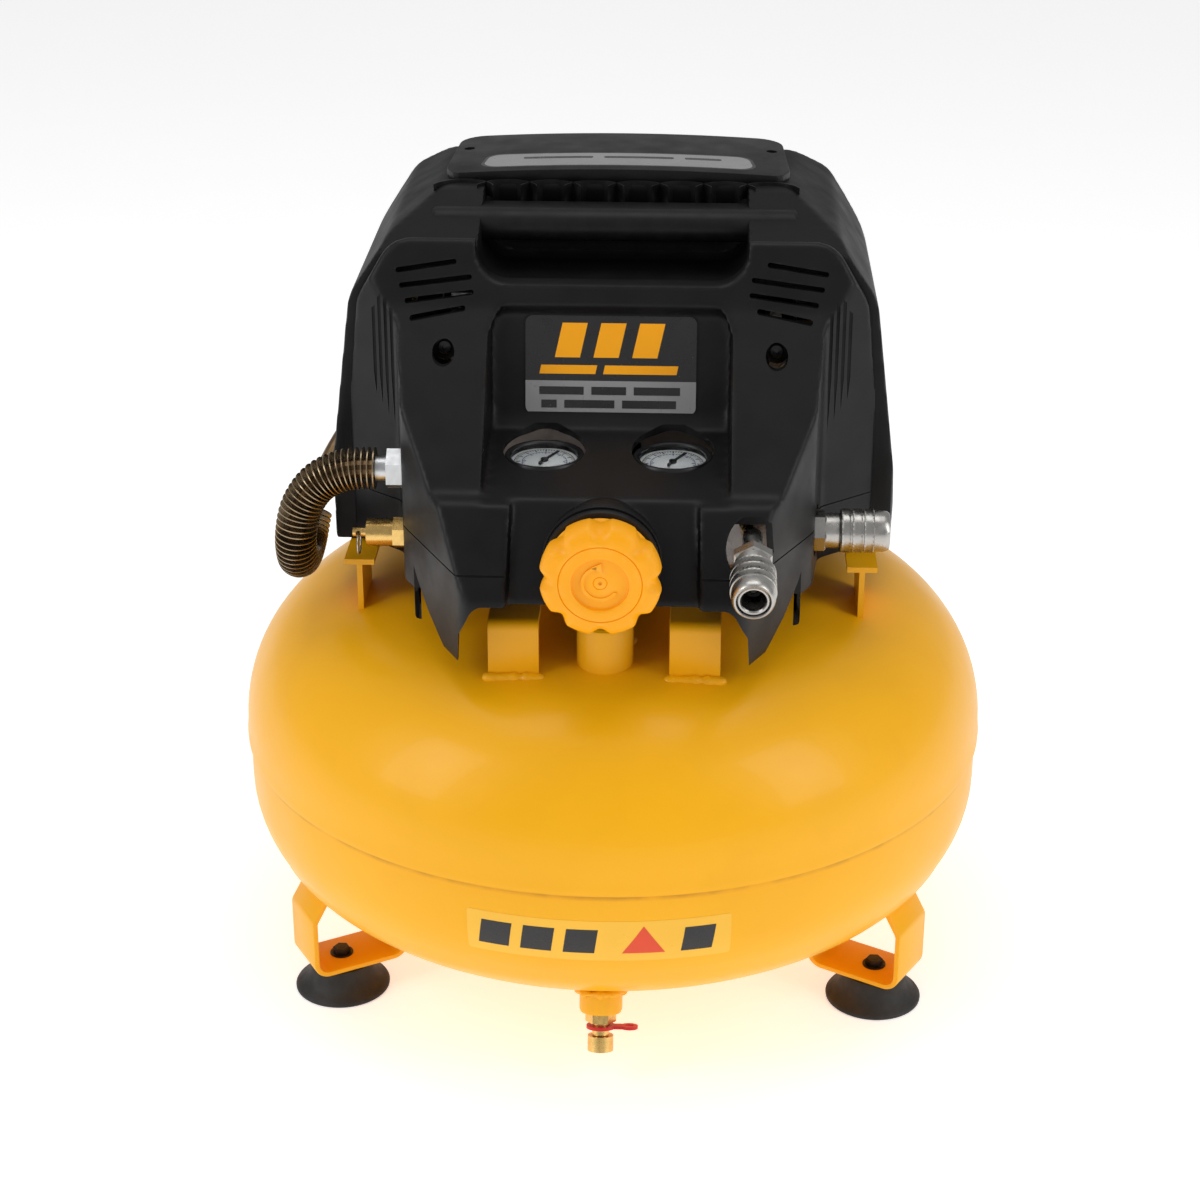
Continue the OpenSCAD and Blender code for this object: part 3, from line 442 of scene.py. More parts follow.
iron = finish("grey_iron", (0.12, 0.12, 0.12), 0.55, metallic=0.8, vary=0.2, patch=50, grain=700,
              bump=0.5, bump_depth=0.0004)
fan = finish("fan_plastic", (0.05, 0.05, 0.055), 0.45, vary=0.2, patch=40, grain=1200, bump=0.2)
tube = finish("tube_bronze", (0.18, 0.115, 0.06), 0.36, metallic=0.9, vary=0.25, patch=60, grain=1200,
              bump=0.2, dust=(0.05, 0.035, 0.02), dust_amount=0.5)
# The fins are a lighter bronze than the tube: a painted highlight that stands in for their lit edges.
fin = finish("fin_bronze_lit_edges", (0.34, 0.26, 0.16), 0.30, metallic=0.95, vary=0.28, patch=110, grain=1500,
             bump=0.2, dust=(0.10, 0.07, 0.04), dust_amount=0.5)
# Near-black metal for the valve deep in each coupler's bore. The valve is a real part, and its near-black
# colour is painted shade inside the bore.
dark_bore = finish("bore_shade_black", (0.02, 0.02, 0.02), 0.3, metallic=0.6, vary=0.3, patch=90, grain=900,
                   bump=0.2)
sticker_yellow = finish("sticker_yellow", (0.96, 0.52, 0.03), 0.34, vary=0.03, patch=20, grain=700,
                        bump=0.06)
ink = finish("sticker_black", (0.010, 0.010, 0.011), 0.30, vary=0.2, patch=30, grain=900, bump=0.06)
ink_grey = finish("sticker_grey", (0.27, 0.27, 0.27), 0.34, vary=0.05, patch=30, grain=900, bump=0.06)
ink_red = finish("sticker_red", (0.75, 0.06, 0.01), 0.34, vary=0.05, patch=30, grain=900, bump=0.06)
lens = finish("gauge_window", (0.9, 0.92, 0.93), 0.04, vary=0.02, patch=20, rough_vary=0.02, grain=300,
              bump=0.02)
lens.node_tree.nodes["Principled BSDF"].inputs["Transmission Weight"].default_value = 1.0
lens.node_tree.nodes["Principled BSDF"].inputs["IOR"].default_value = 1.12


def dial_marks(x, y):
    """Two rings of tick marks about a gauge's centre, black outside and blue inside."""
    def add(nodes, links, coords, base, blend, ramp, noise, times):
        def op(kind, a, b=None):
            node = nodes.new("ShaderNodeMath")
            node.operation = kind
            for i, v in enumerate((a, b)):
                if v is None:
                    continue
                if isinstance(v, (int, float)):
                    node.inputs[i].default_value = v
                else:
                    links.new(v, node.inputs[i])
            return node.outputs["Value"]
        split = nodes.new("ShaderNodeSeparateXYZ")
        links.new(coords.outputs["Object"], split.inputs["Vector"])
        dx = op("SUBTRACT", split.outputs["X"], x * MM)
        dy = op("SUBTRACT", split.outputs["Y"], y * MM)
        radius = op("SQRT", op("ADD", op("MULTIPLY", dx, dx), op("MULTIPLY", dy, dy)))
        turn = op("DIVIDE", op("ARCTAN2", dx, dy), 2 * math.pi)
        swept = op("LESS_THAN", op("ABSOLUTE", turn), 0.375)

        def ticks(number, share, r0, r1):
            beat = op("ABSOLUTE", op("SUBTRACT",
                                     op("FRACT", op("ADD", op("MULTIPLY", turn, number), 0.5)), 0.5))
            inside = op("MULTIPLY", op("GREATER_THAN", radius, r0 * MM),
                        op("LESS_THAN", radius, r1 * MM))
            return op("MULTIPLY", op("MULTIPLY", op("LESS_THAN", beat, share), inside), swept)

        def band(r0, r1):
            return op("MULTIPLY", op("MULTIPLY", op("GREATER_THAN", radius, r0 * MM),
                                     op("LESS_THAN", radius, r1 * MM)), swept)
        black = op("MAXIMUM", op("MAXIMUM", ticks(64, 0.16, 13.6, 15.2), ticks(16, 0.07, 12.2, 15.2)),
                   band(15.1, 15.4))
        blue = op("MAXIMUM", op("MAXIMUM", ticks(40, 0.14, 10.2, 11.2), ticks(8, 0.05, 9.4, 11.2)),
                  band(11.1, 11.4))
        return blend(blue, blend(black, base, (0.01, 0.01, 0.012)), (0.02, 0.06, 0.22))
    return add


by_slot = {"tank_paint": paint, "shroud_plastic": shroud, "knob_plastic": knob_yellow,
           "foot_rubber": rubber, "black_steel": black_steel,
           "brass": brass, "nickel": nickel, "zinc": zinc, "red_plastic": red,
           "black_plastic": black_plastic, "steel": steel,
           "copper_wire": copper, "cast_alloy": cast, "grey_iron": iron, "fan_plastic": fan,
           "tube_metal": tube, "fin_metal": fin, "lens": lens}
for row in frame["record"]["subparts"]:
    node = frame["nodes"][row["node"]]
    node.data.materials.clear()
    node.data.materials.append(by_slot[row["material_slot"]])

# ---------------------------------------------------------------- tank

TANK_R = 205
SEAM = 135
HEAD_TOP = 91
HEAD_LOW = 94.5
DOME_R = 925
RAIL_X = 46
RAIL_HALF = 13
FOOT_SPOT = 171


def head_curve(height, flange, knuckle, steps):
    """Outline of a dished end from its rim to the axis: straight flange, knuckle, then the shallow crown."""
    corner = TANK_R - knuckle
    crown = ((height - flange) ** 2 + corner ** 2 - knuckle ** 2) / (2 * (height - flange - knuckle))
    meet = math.degrees(math.asin(corner / (crown - knuckle)))
    line = [(TANK_R, 0), (TANK_R, flange)]
    line += [(corner + knuckle * math.cos(math.radians(a)), flange + knuckle * math.sin(math.radians(a)))
             for a in ((90 - meet) * k / steps for k in range(1, steps + 1))]
    line += [(crown * math.sin(math.radians(meet * (1 - k / 8))),
              height - crown + crown * math.cos(math.radians(meet * (1 - k / 8))))
             for k in range(1, 9)]
    return line


upper = [(TANK_R - 3, SEAM - 3.4), (TANK_R - 0.4, SEAM - 3.6), (TANK_R + 0.5, SEAM - 3.0),
         (TANK_R + 0.6, SEAM - 0.5), (TANK_R + 0.25, SEAM + 2)]
upper += [(r, SEAM + z) for r, z in head_curve(HEAD_TOP, 6, 75, 20)[1:]]
shell = smooth(lathe("tank_upper_shell", upper, 192, cap_start=False, cap_end=False), 50)
keep(shell, paint, stands_for=["tank_upper"])
lower = [(TANK_R - 1.6, SEAM - 2.6), (TANK_R - 1.0, SEAM - 5.2), (TANK_R - 1.0, SEAM - 27)]
lower += [(r - 1.0 if z < 60 else r, SEAM - z) for r, z in head_curve(HEAD_LOW, 27, 58, 16)[2:]]
shell = smooth(lathe("tank_lower_shell", [(max(r, 0.01), z) for r, z in lower], 192, cap_start=False,
                     cap_end=False), 50)
keep(shell, paint, stands_for=["tank_lower"])


def blobs(name, spots, size, voxel=1.3, passes=4):
    """A run of weld metal: overlapping drops melted together."""
    drops = []
    for i, spot in enumerate(spots):
        swell = 1 + 0.28 * math.sin(i * 2.3) + 0.16 * math.sin(i * 5.1 + 1)
        bpy.ops.mesh.primitive_ico_sphere_add(subdivisions=2, radius=size * swell * MM,
                                              location=Vector(spot) * MM)
        drops.append(bpy.context.object)
        bpy.ops.object.transform_apply(location=True)
    return melt(join(name, drops), voxel, passes)


def dome(r):
    return SEAM + HEAD_TOP - DOME_R + math.sqrt(DOME_R ** 2 - r ** 2)


# rails that carry the pump, bent from flat strap, with their weld runs
for side, word in ((-1, "left"), (1, "right")):
    x = side * RAIL_X
    front = dome(math.hypot(x, 130)) - 3
    back = dome(math.hypot(x, 150)) - 3
    path = [(-130, front), (-130, 246, 5), (150, 246, 5), (150, back), (147, back), (147, 243, 2),
            (-127, 243, 2), (-127, front)]
    strap = slab(f"pump_rail_{word}", fillet(path), "x", x - RAIL_HALF, x + RAIL_HALF)
    edge(strap, 0.7, 2)
    welds = blobs(f"rail_weld_{word}", [(x - RAIL_HALF + i * 2.2, -130.6,
                                         dome(math.hypot(x, 130)) - 1.0) for i in range(13)], 3.0)
    weld_back = blobs("rail_weld_back", [(x - RAIL_HALF + i * 2.2, 150,
                                          dome(math.hypot(x, 150)) - 1.2) for i in range(13)], 2.8)
    keep(smooth(strap), paint, stands_for=["pump_rails"] if side < 0 else ())
    keep(smooth(join(f"rail_weld_{word}", [welds, weld_back]), 60), weld_paint)

base = dome(115)
boss = lathe("outlet_bung", [(14.5, base - 8), (14.5, 238), (14.1, 240), (12.8, 241), (8, 241)], 64,
             cap_start=False, cap_end=True)
ring = blobs("outlet_weld", [(15.6 * math.cos(a * math.pi / 14), 15.6 * math.sin(a * math.pi / 14),
                              base + 0.4) for a in range(28)], 3.2)
place(boss, at(0, -115, 0))
place(ring, at(0, -115, 0, rx=-7))
drain_bung = lathe("drain_bung", [(11.25, -8), (11.25, 10.5), (10.6, 12.1), (9, 12.5), (4, 12.5)], 48,
                   cap_start=False)
drain_ring = blobs("drain_weld", [(12 * math.cos(a * math.pi / 12), 12 * math.sin(a * math.pi / 12),
                                   0.4) for a in range(24)], 2.2, 1.0)
bung = join("tank_bosses", [boss, place(drain_bung, at(0, -164, 51.7, rx=161))])
keep(smooth(bung), paint, stands_for=["tank_bungs"])
keep(smooth(join("boss_welds", [ring, place(drain_ring, at(0, -164, 51.7, rx=161))]), 60), weld_paint)

# ---------------------------------------------------------------- legs and feet

for angle, node, word in ((210, "leg_left", "left"), (330, "leg_right", "right"),
                          (90, "leg_rear", "rear")):
    top = 72
    outer = [(181, top), (193, 52.8, 6), (193, 17, 9), (137, 17, 9), (137, 52.8, 6), (149, top),
             (152.2, top), (140, 51.8, 4), (140, 20, 6), (190, 20, 6), (190, 51.8, 4), (177.8, top)]
    strap = slab(f"leg_strap_{word}", fillet(outer, steps=8), "y", -16, 16)
    edge(strap, 0.8, 2, 40)
    weld = blobs(f"leg_weld_{word}", [(181.5, -15 + i * 2.3, 70.5) for i in range(14)] + [(148.5,
            -15 + i * 2.3, 70) for i in range(14)], 2.7)
    turn = Matrix.Rotation(math.radians(angle), 4, "Z")
    keep(smooth(place(strap, turn)), paint, stands_for=[node])
    keep(smooth(place(weld, turn), 60), weld_paint)
    profile = [(5.4, 3), (15, 2.4), (20.2, 0), (25.4, 0), (26.1, 0.5), (26.2, 1.6), (25.6, 2.6),
               (23.6, 4.0), (21.2, 6.2), (19.2, 9.2),
               (17.8, 12.6), (17.2, 15.4), (16.7, 16.6), (15.6, 16.95), (5.4, 16.95)]
    foot = lathe(f"rubber_foot_{word}", profile, 72, cap_start=True, cap_end=True)
    foot = place(foot, turn @ at(FOOT_SPOT, 0, 0))
    keep(smooth(foot, 45), rubber, stands_for=["feet"] if word == "left" else ())
    nut = lathe(f"foot_screw_{word}", [(2.9, 4), (2.9, 20)], 24)
    head = lathe("hex", [(4.0, 20), (4.9, 20.5), (4.9, 23.3), (4.1, 23.9)], 6)
    washer = lathe("washer", [(6.3, 19.98), (6.4, 20.1), (6.4, 20.6), (6.2, 20.8)], 32)
    stud = lathe("stud", [(2.2, 23.5), (2.2, 23.95), (1.6, 24)], 16)
    screw = place(join(f"foot_screw_{word}", [nut, head, washer, stud]), turn @ at(FOOT_SPOT, 0, 0))
    keep(smooth(screw), black_steel, stands_for=["foot_screws"] if word == "left" else ())

# ---------------------------------------------------------------- shroud, front cover

SPLIT = -22
WALL = 3
front_side = [(-149, 229, 4), (SPLIT, 229), (SPLIT, 414), (-27, 414, 3), (-40, 384, 22),
              (-113, 308.5, 8), (-122, 306.5, 7), (-151, 266, 16)]
front_plan = [(-68, -153, 16), (68, -153, 16), (106, -80, 14), (110, -46, 9), (140, SPLIT),
              (-140, SPLIT), (-110, -46, 9), (-106, -80, 14)]
front_face = [(-150, 229), (150, 229), (133, 382, 26), (114, 414, 18), (-114, 414, 18), (-133, 382, 26)]
recess_side = [(-124, 305.3), (-52, 320.3, 4), (-45, 328, 9), (-37, 378, 6), (-42, 387), (-124, 387)]


def dropped(outline, z, by):
    return [(a, b - by if b < z + 1 else b, *rest) for a, b, *rest in outline]


def front_form(name, d):
    by = 12 if d else 0
    side = slab(name, fillet(dropped(inset(front_side, d), 229 + d, by)), "x", -141, 141)
    plan = slab("plan", fillet(inset(front_plan, d)), "z", 205, 450)
    face = slab("face", fillet(dropped(inset(front_face, d), 229 + d, by)), "y", -190, 10)
    return carve(side, plan, face, operation="INTERSECT")


def label_recess(grow):
    side = slab("recess", fillet(inset(recess_side, -grow)), "x", -90, 90)
    face = slab("face", fillet([(-62 - grow, 280), (62 + grow, 280), (62 + grow, 387 + grow, 18),
                                (-62 - grow, 387 + grow, 18)], steps=8), "y", -200, 0)
    return carve(side, face, operation="INTERSECT")


REG = at(0, -180, 289, rx=94)
FRONT_PORT = at(73.5, -180, 281.5, rx=99)
SIDE_PORT = at(146, -64, 271, ry=90)
GAUGE_X = 33
GAUGE_Y = -70
outer = front_form("front_cover_shell", 0)
carve(outer, label_recess(0))
lip = slab("centre_panel", [(-200, 200), (-144.5, 200), (-145.5, 265.5), (-113, 311), (-200, 311)], "x",
           -50, 50)
carve(lip, slab("face", fillet([(-50, 200), (50, 200), (46, 330), (-46, 330)]), "y", -210, -100),
      operation="INTERSECT")
carve(outer, lip)
bossy = place(lathe("regulator_boss", [(14, -62), (19, -58), (28.6, -34), (29.2, -29), (28.8, -27.2)],
                    72), REG)
carve(outer, bossy, operation="UNION")
mouth = slab("mouth", fillet([(-70, 393, 17), (70, 393, 17), (70, 440), (-70, 440)], steps=8), "y", -70,
             SPLIT + 2)
carve(outer, mouth)
melt(outer, 1.9, 7)
cavity = front_form("cavity", WALL)
back = place(front_form("back", WALL), Matrix.Translation((0, 5 * MM, 0)))
carve(back, block("slice", (-200, SPLIT - 12, 0), (200, SPLIT + 8, 500)), operation="INTERSECT")
carve(cavity, back, operation="UNION")
carve(cavity, label_recess(WALL))
keepout = slab("keepout", [(-73, 390), (73, 390), (73, 440), (-73, 440)], "y", -70, SPLIT + 12)
panel = slab("panel", [(-200, 200), (-141, 200), (-142.5, 264.5), (-112, 308), (-112, 330), (-200, 330)],
             "x", -53, 53)
carve(cavity, keepout, panel)
carve(outer, cavity)
cuts = [slab("opening", fillet([(-76, 180), (76, 180), (72, 246, 6), (64, 263, 8), (-64, 263, 8),
                                (-72, 246, 6)]), "y", -200, -60),
        block("skirt", (-200, -92, 180), (200, 0, 247)),
        *[slab("tooth_curve", [(side * a, b) for a,
                               b in ((81, 180), (150, 180), (150, 266), (102, 266), (98, 255), (91, 242),
                                     (81, 229.5))], "y", -180, -92)
          for side in (-1, 1)],
        place(lathe("bonnet_hole", [(18.5, -60), (18.5, -10)], 48), REG),
        place(lathe("cone_hollow", [(12, -60), (16, -56), (25.5, -31)], 48), REG),
        place(lathe("front_coupler_hole", [(13.2, -58), (13.2, -10)], 48), FRONT_PORT),
        rod("safety_hole", (-145, -64, 266), (-88, -64, 266), 22),
        rod("pipe_hole", (-145, -64, 304), (-88, -64, 304), 26),
        rod("side_coupler_hole", (88, -64, 271), (145, -64, 271), 27)]
for x in (-GAUGE_X, GAUGE_X):
    cuts.append(rod("gauge_hole", (x, GAUGE_Y, 290), (x, GAUGE_Y, 323), 42.4, 64))
for side in (-1, 1):
    for i, (far, near) in enumerate(((110, 81), (108, 73), (105, 72), (102, 76))):
        z = 402 - 7.2 * i
        cuts.append(bar("slot", (side * far, z - 2.6), (side * near, z + 1.6), 2.6, "y", -90,
                        -20 if i > 1 else -21))
    cuts.append(rod("screw_recess", (side * 85, -90, 364), (side * 85, -25, 364), 11.5))
for cut in cuts:
    carve(outer, cut)
for side in (-1, 1):
    for i in range(4):
        x = 113 + 3.4 * i
        depth = -46 + 0.8 * (x - 110) + 1.6
        foot_z = 318 + 5 * i
        shape = [(side * (x - 0.2), foot_z), (side * (x + 0.9), 345), (side * (x + 0.9), 399 - 6.5 * i),
                 (side * (x - 0.9), 401 - 6.5 * i), (side * (x - 0.9), 345)]
        carve(outer, slab("louvre", shape, "y", -110, depth))
parting = front_form("parting_outer", -1.0)
carve(parting, front_form("parting_inner", 0.55), block("above", (-200, -200, 277), (200, 50, 500)),
      block("below", (-200, -200, 100), (200, 50, 276.2)))
carve(parting, block("middle", (-47, -200, 200), (47, -100, 300)))
carve(outer, parting)
wells = []
for side in (-1, 1):
    well = rod("screw_well", (side * 85, -49, 364), (side * 85, -26, 364), 14.5)
    head = place(lathe("screw_head", [(3.9, 0), (3.9, 1.2), (3.2, 2.0), (1.2, 2.4), (1.0, 1.4),
                                      (0.01, 1.4)], 32), at(side * 85, -49, 364, rx=90))
    wells += [edge(well, 0.4, 2), head]
keep(smooth(join("cover_screws", wells)), black_steel)
wear(outer)
smooth(outer, 32)
keep(outer, shroud, stands_for=["front_cover"])

# ---------------------------------------------------------------- shroud, rear cover

rear_plan = [(-150, SPLIT), (150, SPLIT), (156, 40, 40), (132, 128, 34), (80, 160, 30), (-80, 160, 30),
             (-132, 128, 34), (-156, 40, 40)]
rear_face = [(-156, 244), (156, 244), (138, 382, 30), (118, 411, 16), (94, 425, 14), (-94, 425, 14),
             (-118, 411, 16), (-138, 382, 30)]
rear_side = [(SPLIT, 244), (160, 244), (160, 370, 30), (132, 425, 20), (34, 425, 12), (SPLIT, 406)]


def rear_form(name, d):
    by = 12 if d else 0
    side = slab(name, fillet(dropped(inset(rear_side, d), 244 + d, by)), "x", -160, 160)
    plan = slab("plan", fillet(inset(rear_plan, d)), "z", 205, 450)
    face = slab("face", fillet(dropped(inset(rear_face, d), 244 + d, by)), "y", -60, 190)
    return carve(side, plan, face, operation="INTERSECT")


rear = rear_form("rear_cover_shell", 0)
well = slab("well", fillet([(-70, 388, 14), (70, 388, 14), (70, 450), (-70, 450)], steps=8), "y",
            SPLIT - 5, 44)
carve(rear, well)
for side in (-1, 1):
    band = slab("flank_band", fillet([(30, 262, 6), (122, 262, 6), (122, 282, 6), (30, 282, 6)]), "x",
                side * 149 if side > 0 else -170, 170 if side > 0 else -149)
    carve(rear, band)
melt(rear, 2.2, 7)
cavity = rear_form("cavity", WALL)
carve(cavity, slab("keepout", [(-73, 385), (73, 385), (73, 450), (-73, 450)], "y", SPLIT - 5, 47))
carve(rear, cavity)
cuts = [slab("front_opening", fillet([(-134, 200), (134, 200), (126, 376, 20), (108, 384), (-108, 384),
                                      (-126, 376, 20)]), "y", SPLIT - 3, SPLIT + 5),
        bar("pipe_slot", (-12, 262), (26, 292), 18, "x", -175, -130),
        block("rocker_hole", (30.4, 150, 301.4), (53.6, 165, 322.6), 1.0, 2),
        rod("gland_hole", (-42, 150, 292), (-42, 166, 292), 14.2)]
for side in (-1, 1):
    for i in range(7):
        cuts.append(bar("side_slot", (42 + i * 10, 296), (42 + i * 10, 346), 4, "x",
                        side * 110 if side > 0 else -170, 170 if side > 0 else -110))
    cuts.append(rod("cap_screw_hole", (side * 84, 100, 418), (side * 84, 100, 430), 4))
for i in range(-7, 8):
    cuts.append(bar("back_slot", (i * 9, 340), (i * 9, 362), 4, "y", 140, 166))
for cut in cuts:
    carve(rear, cut)
wear(rear)
keep(smooth(rear, 32), shroud_shaded, stands_for=["rear_cover"])

# handle bar, arched rib row and crowned cap
grip_shape = [(34, 404), (34, 418.5), *arc(15, 410.5, 9.0, 82, 230, 14)]
grip = slab("carry_handle", grip_shape, "x", -97, 97)
edge(grip, 3.0, 4, 50)
keep(smooth(wear(grip), 50), shroud, stands_for=["handle_bar"])
ribs = []
for i in range(8):
    x = -93.3 + i * 23.3
    over = [(x + 11.65 + a, 32.2 + b) for a, b in arc(0, -3, 17, 160, 20, 12)]
    under = [(x + 11.65 + a, 32.2 + b) for a, b in arc(0, -4.4, 17, 20, 160, 12)]
    ribs.append(slab("rib", over + under, "z", 414.5 if abs(x + 11.65) < 76 else 419, 426.5))
grille = join("arched_ribs", ribs)
keep(smooth(wear(grille), 40), shroud, stands_for=["vent_grille"])
CAP_TOP = 431.9
CAP_FALL = 4.5
CAP_HALF = 110
cap_plan = [(-88, 48, 6), (88, 48, 6), (93, 60, 8), (90, 128, 14), (-90, 128, 14), (-93, 60, 8)]
cap = slab("top_cap_cover", fillet(cap_plan), "z", 424.5, CAP_TOP)
crown = slab("crown", [(-110, 400), (110, 400), (110, 427.4),
                       *[(CAP_HALF - i * 11,
                          CAP_TOP - CAP_FALL * ((CAP_HALF - i * 11) / CAP_HALF) ** 2) for i in range(1,
                                  20)], (-110, 427.4)], "y", 20, 150)
carve(cap, crown, operation="INTERSECT")
edge(cap, 1.6, 4, 40)
carve(cap, rod("screw", (-84, 100, 426), (-84, 100, 440), 6),
      rod("screw", (84, 100, 426), (84, 100, 440), 6))
keep(smooth(wear(cap)), shroud, stands_for=["top_cap"])


def crowned_plate(name, outline, lift, material):
    """A thin sticker that lies on the crowned cap."""
    plate = slab(name, outline, "z", 431.0, 431.25)
    edit(plate)
    for x in range(-70, 71, 10):
        bpy.ops.mesh.select_all(action="SELECT")
        bpy.ops.mesh.bisect(plane_co=(x * MM, 0, 0), plane_no=(1, 0, 0), clear_inner=False,
                            clear_outer=False)
    done(plate)
    for vert in plate.data.vertices:
        top = CAP_TOP - CAP_FALL * (vert.co.x / MM / CAP_HALF) ** 2
        vert.co.z = (top + (lift if vert.co.z / MM > 431.1 else -0.6)) * MM
    return keep(plate, material)


crowned_plate("cap_label_border", fillet([(-76, 56, 9), (76, 56, 9), (72, 84, 9), (-72, 84, 9)],
                                         steps=8), 0.02, ink)
crowned_plate("cap_label", fillet([(-74, 57.5, 8), (74, 57.5, 8), (70.5, 82.5, 8), (-70.5, 82.5, 8)],
                                  steps=8), 0.05, ink_grey)
for i, (x0, x1) in enumerate(((-52, -14), (-8, 30), (36, 56))):
    crowned_plate(f"cap_label_bar_{i}", fillet([(x0, 72, 1.5), (x1, 72, 1.5), (x1, 76, 1.5),
                                                (x0, 76, 1.5)]), 0.08, ink)

# ---------------------------------------------------------------- labels

lean = math.degrees(math.atan2(8, 50))


def on_face(obj):
    """Moves a flat piece drawn in X and Y onto the label face of the front cover."""
    return place(obj, at(0, -41.2, 352, rx=90 - lean))


def sticker(name, outline, z0, z1, material):
    return keep(on_face(slab(name, outline, "z", z0, z1)), material)


sticker("panel_label_border", fillet([(-45, -26.5, 4.5), (45, -26.5, 4.5), (45, 26.5, 4.5),
                                      (-45, 26.5, 4.5)]), -0.6, 0.50, shroud_shaded)
sticker("panel_label_black", fillet([(-44.2, -8.2), (44.2, -8.2), (44.2, 25.7, 4), (-44.2, 25.7, 4)]),
        0.2, 0.62, ink)
sticker("panel_label_grey", fillet([(-44.2, -25.7, 4), (44.2, -25.7, 4), (44.2, -8.2), (-44.2, -8.2)]),
        0.2, 0.62, ink_grey)
marks = []
for x0, x1 in ((-29, -12), (-9, 8), (11, 28)):
    marks.append(on_face(slab("chevron", [(x0, 4), (x1 - 4, 4), (x1, 22), (x0 + 4, 22)], "z", 0.5,
                              0.74)))
for x0, x1 in ((-37, -8), (-4, 34)):
    marks.append(on_face(slab("stripe", [(x0, -4.6), (x1, -4.6), (x1 + 1, 0), (x0 + 1, 0)], "z", 0.5,
                              0.74)))
keep(join("panel_label_yellow_marks", marks), knob_yellow)
marks = []
for x0, x1, y in ((-37, -14, -15.5), (-10, 8, -15.5), (12, 36, -15.5), (-36, -28, -22.5),
                  (-24, 2, -22.5), (6, 34, -22.5)):
    marks.append(on_face(slab("bar", [(x0, y), (x1, y), (x1, y + 4.2), (x0, y + 4.2)], "z", 0.5, 0.74)))
keep(join("panel_label_dark_bars", marks), ink)


def skin_r(z):
    """Radius of the lower tank shell at a height."""
    for (r0, z0), (r1, z1) in zip(lower, lower[1:]):
        if z1 <= z <= z0:
            return r0 + (r1 - r0) * (z0 - z) / max(z0 - z1, 1e-6)
    return lower[0][0]


def tank_patch(name, outline, lift, material):
    """A sticker shape in arc length and height, wrapped on the front of the tank."""
    patch = slab(name, outline, "y", 0, 1)
    xs = [p[0] for p in outline]
    zs = [p[1] for p in outline]
    edit(patch)
    for x in range(int(min(xs)) // 4 * 4, int(max(xs)) + 4, 4):
        bpy.ops.mesh.select_all(action="SELECT")
        bpy.ops.mesh.bisect(plane_co=(x * MM, 0, 0), plane_no=(1, 0, 0))
    for z in range(int(min(zs)) // 3 * 3, int(max(zs)) + 3, 3):
        bpy.ops.mesh.select_all(action="SELECT")
        bpy.ops.mesh.bisect(plane_co=(0, 0, z * MM), plane_no=(0, 0, 1))
    done(patch)
    for vert in patch.data.vertices:
        a = vert.co.x / MM / TANK_R
        r = skin_r(vert.co.z / MM) + (lift if vert.co.y < 0.0005 else -0.5)
        vert.co.x = r * math.sin(a) * MM
        vert.co.y = -r * math.cos(a) * MM
    return keep(smooth(outward(patch), 30), material)


tank_patch("tank_sticker", fillet([(-68, 93, 1.5), (68, 93, 1.5), (68, 117, 1.5), (-68, 117, 1.5)]),
           0.14, sticker_yellow)
shapes = [[(-62, 98), (-46, 98), (-44, 112), (-60, 112)], [(-40, 98), (-24, 98), (-22, 112), (-38, 112)],
          [(-18, 98), (-2, 98), (0, 112), (-16, 112)],
          [(42, 98), (58, 98), (60, 112), (44, 112)]]
for i, shape in enumerate(shapes):
    tank_patch(f"tank_sticker_block_{i}", shape, 0.22, ink)
tank_patch("tank_sticker_triangle", [(12, 98), (34, 98), (23, 114)], 0.22, ink_red)

# ---------------------------------------------------------------- regulator knob


def knob_shape():
    rings = [(14, -20), (25.2, -20), (26.4, -19.4), (27.2, -17), (28.6, -16), (29.4, -14), (29.8, -11),
             (29.9, -8), (29.6, -5.6), (28.8, -3.6),
             (27.4, -2.0), (25.2, -0.9), (22.6, -0.35), (20.6, -0.3), (20.2, -0.85), (19.8, -0.3),
             (15.6, -0.1), (14.6, -0.15), (14.1, -0.5),
             (13.9, -2.2), (12.2, -2.4), (3.6, -2.4), (3.3, -2.8), (2.9, -2.4), (1.0, -2.4), (0.9, -3.1),
             (0.01, -3.2)]
    obj = lathe("regulator_knob_cap", rings, 192, cap_start=True, cap_end=False)
    for vert in obj.data.vertices:
        r = math.hypot(vert.co.x, vert.co.y) / MM
        z = vert.co.z / MM
        if r < 21 or z < -19:
            continue
        turn = math.atan2(vert.co.y, vert.co.x)
        wave = max(0.0, math.cos(8 * turn)) ** 1.3
        depth = 2.6 * wave * min(1.0, (r - 21) / 7) * min(1.0, (z + 19.5) / 4)
        vert.co.x *= 1 - depth / r
        vert.co.y *= 1 - depth / r
        if z > -8:
            vert.co.z -= 1.5 * wave * min(1.0, max(0.0, (r - 23.5) / 4)) * MM
    return obj


knob = knob_shape()
curl = arc(0, 0, 9.4, 100, 330, 18)
mark = slab("turn_mark", curl + [(a * 0.83, b * 0.83) for a,
                                 b in reversed(arc(0, 0, 9.4, 104, 326, 18))], "z", -2.6, -1.7)
tip = slab("turn_tip", [(-4.6, 8.6), (0.6, 11.0), (0.9, 6.0)], "z", -2.6, -1.7)
knob = join("regulator_knob_cap", [knob, mark, tip])
wear(knob)
keep(smooth(place(knob, REG), 38), knob_yellow, "knob", ["regulator_knob"])
slim = place(lathe("regulator_barrel", [(9, -89), (11, -88), (11, -60), (13, -58), (13, -32), (12, -31)],
                   48), REG)
keep(smooth(slim), cast, stands_for=["regulator_body"])
rim = lathe("regulator_collar_cup", [(18, -31), (28.6, -28.2), (29.4, -27.6), (29.5, -26.6),
                                     (29.2, -26.0), (28.4, -25.9), (27.0, -26.6), (24, -27.2),
                                     (18, -27.4)], 96)
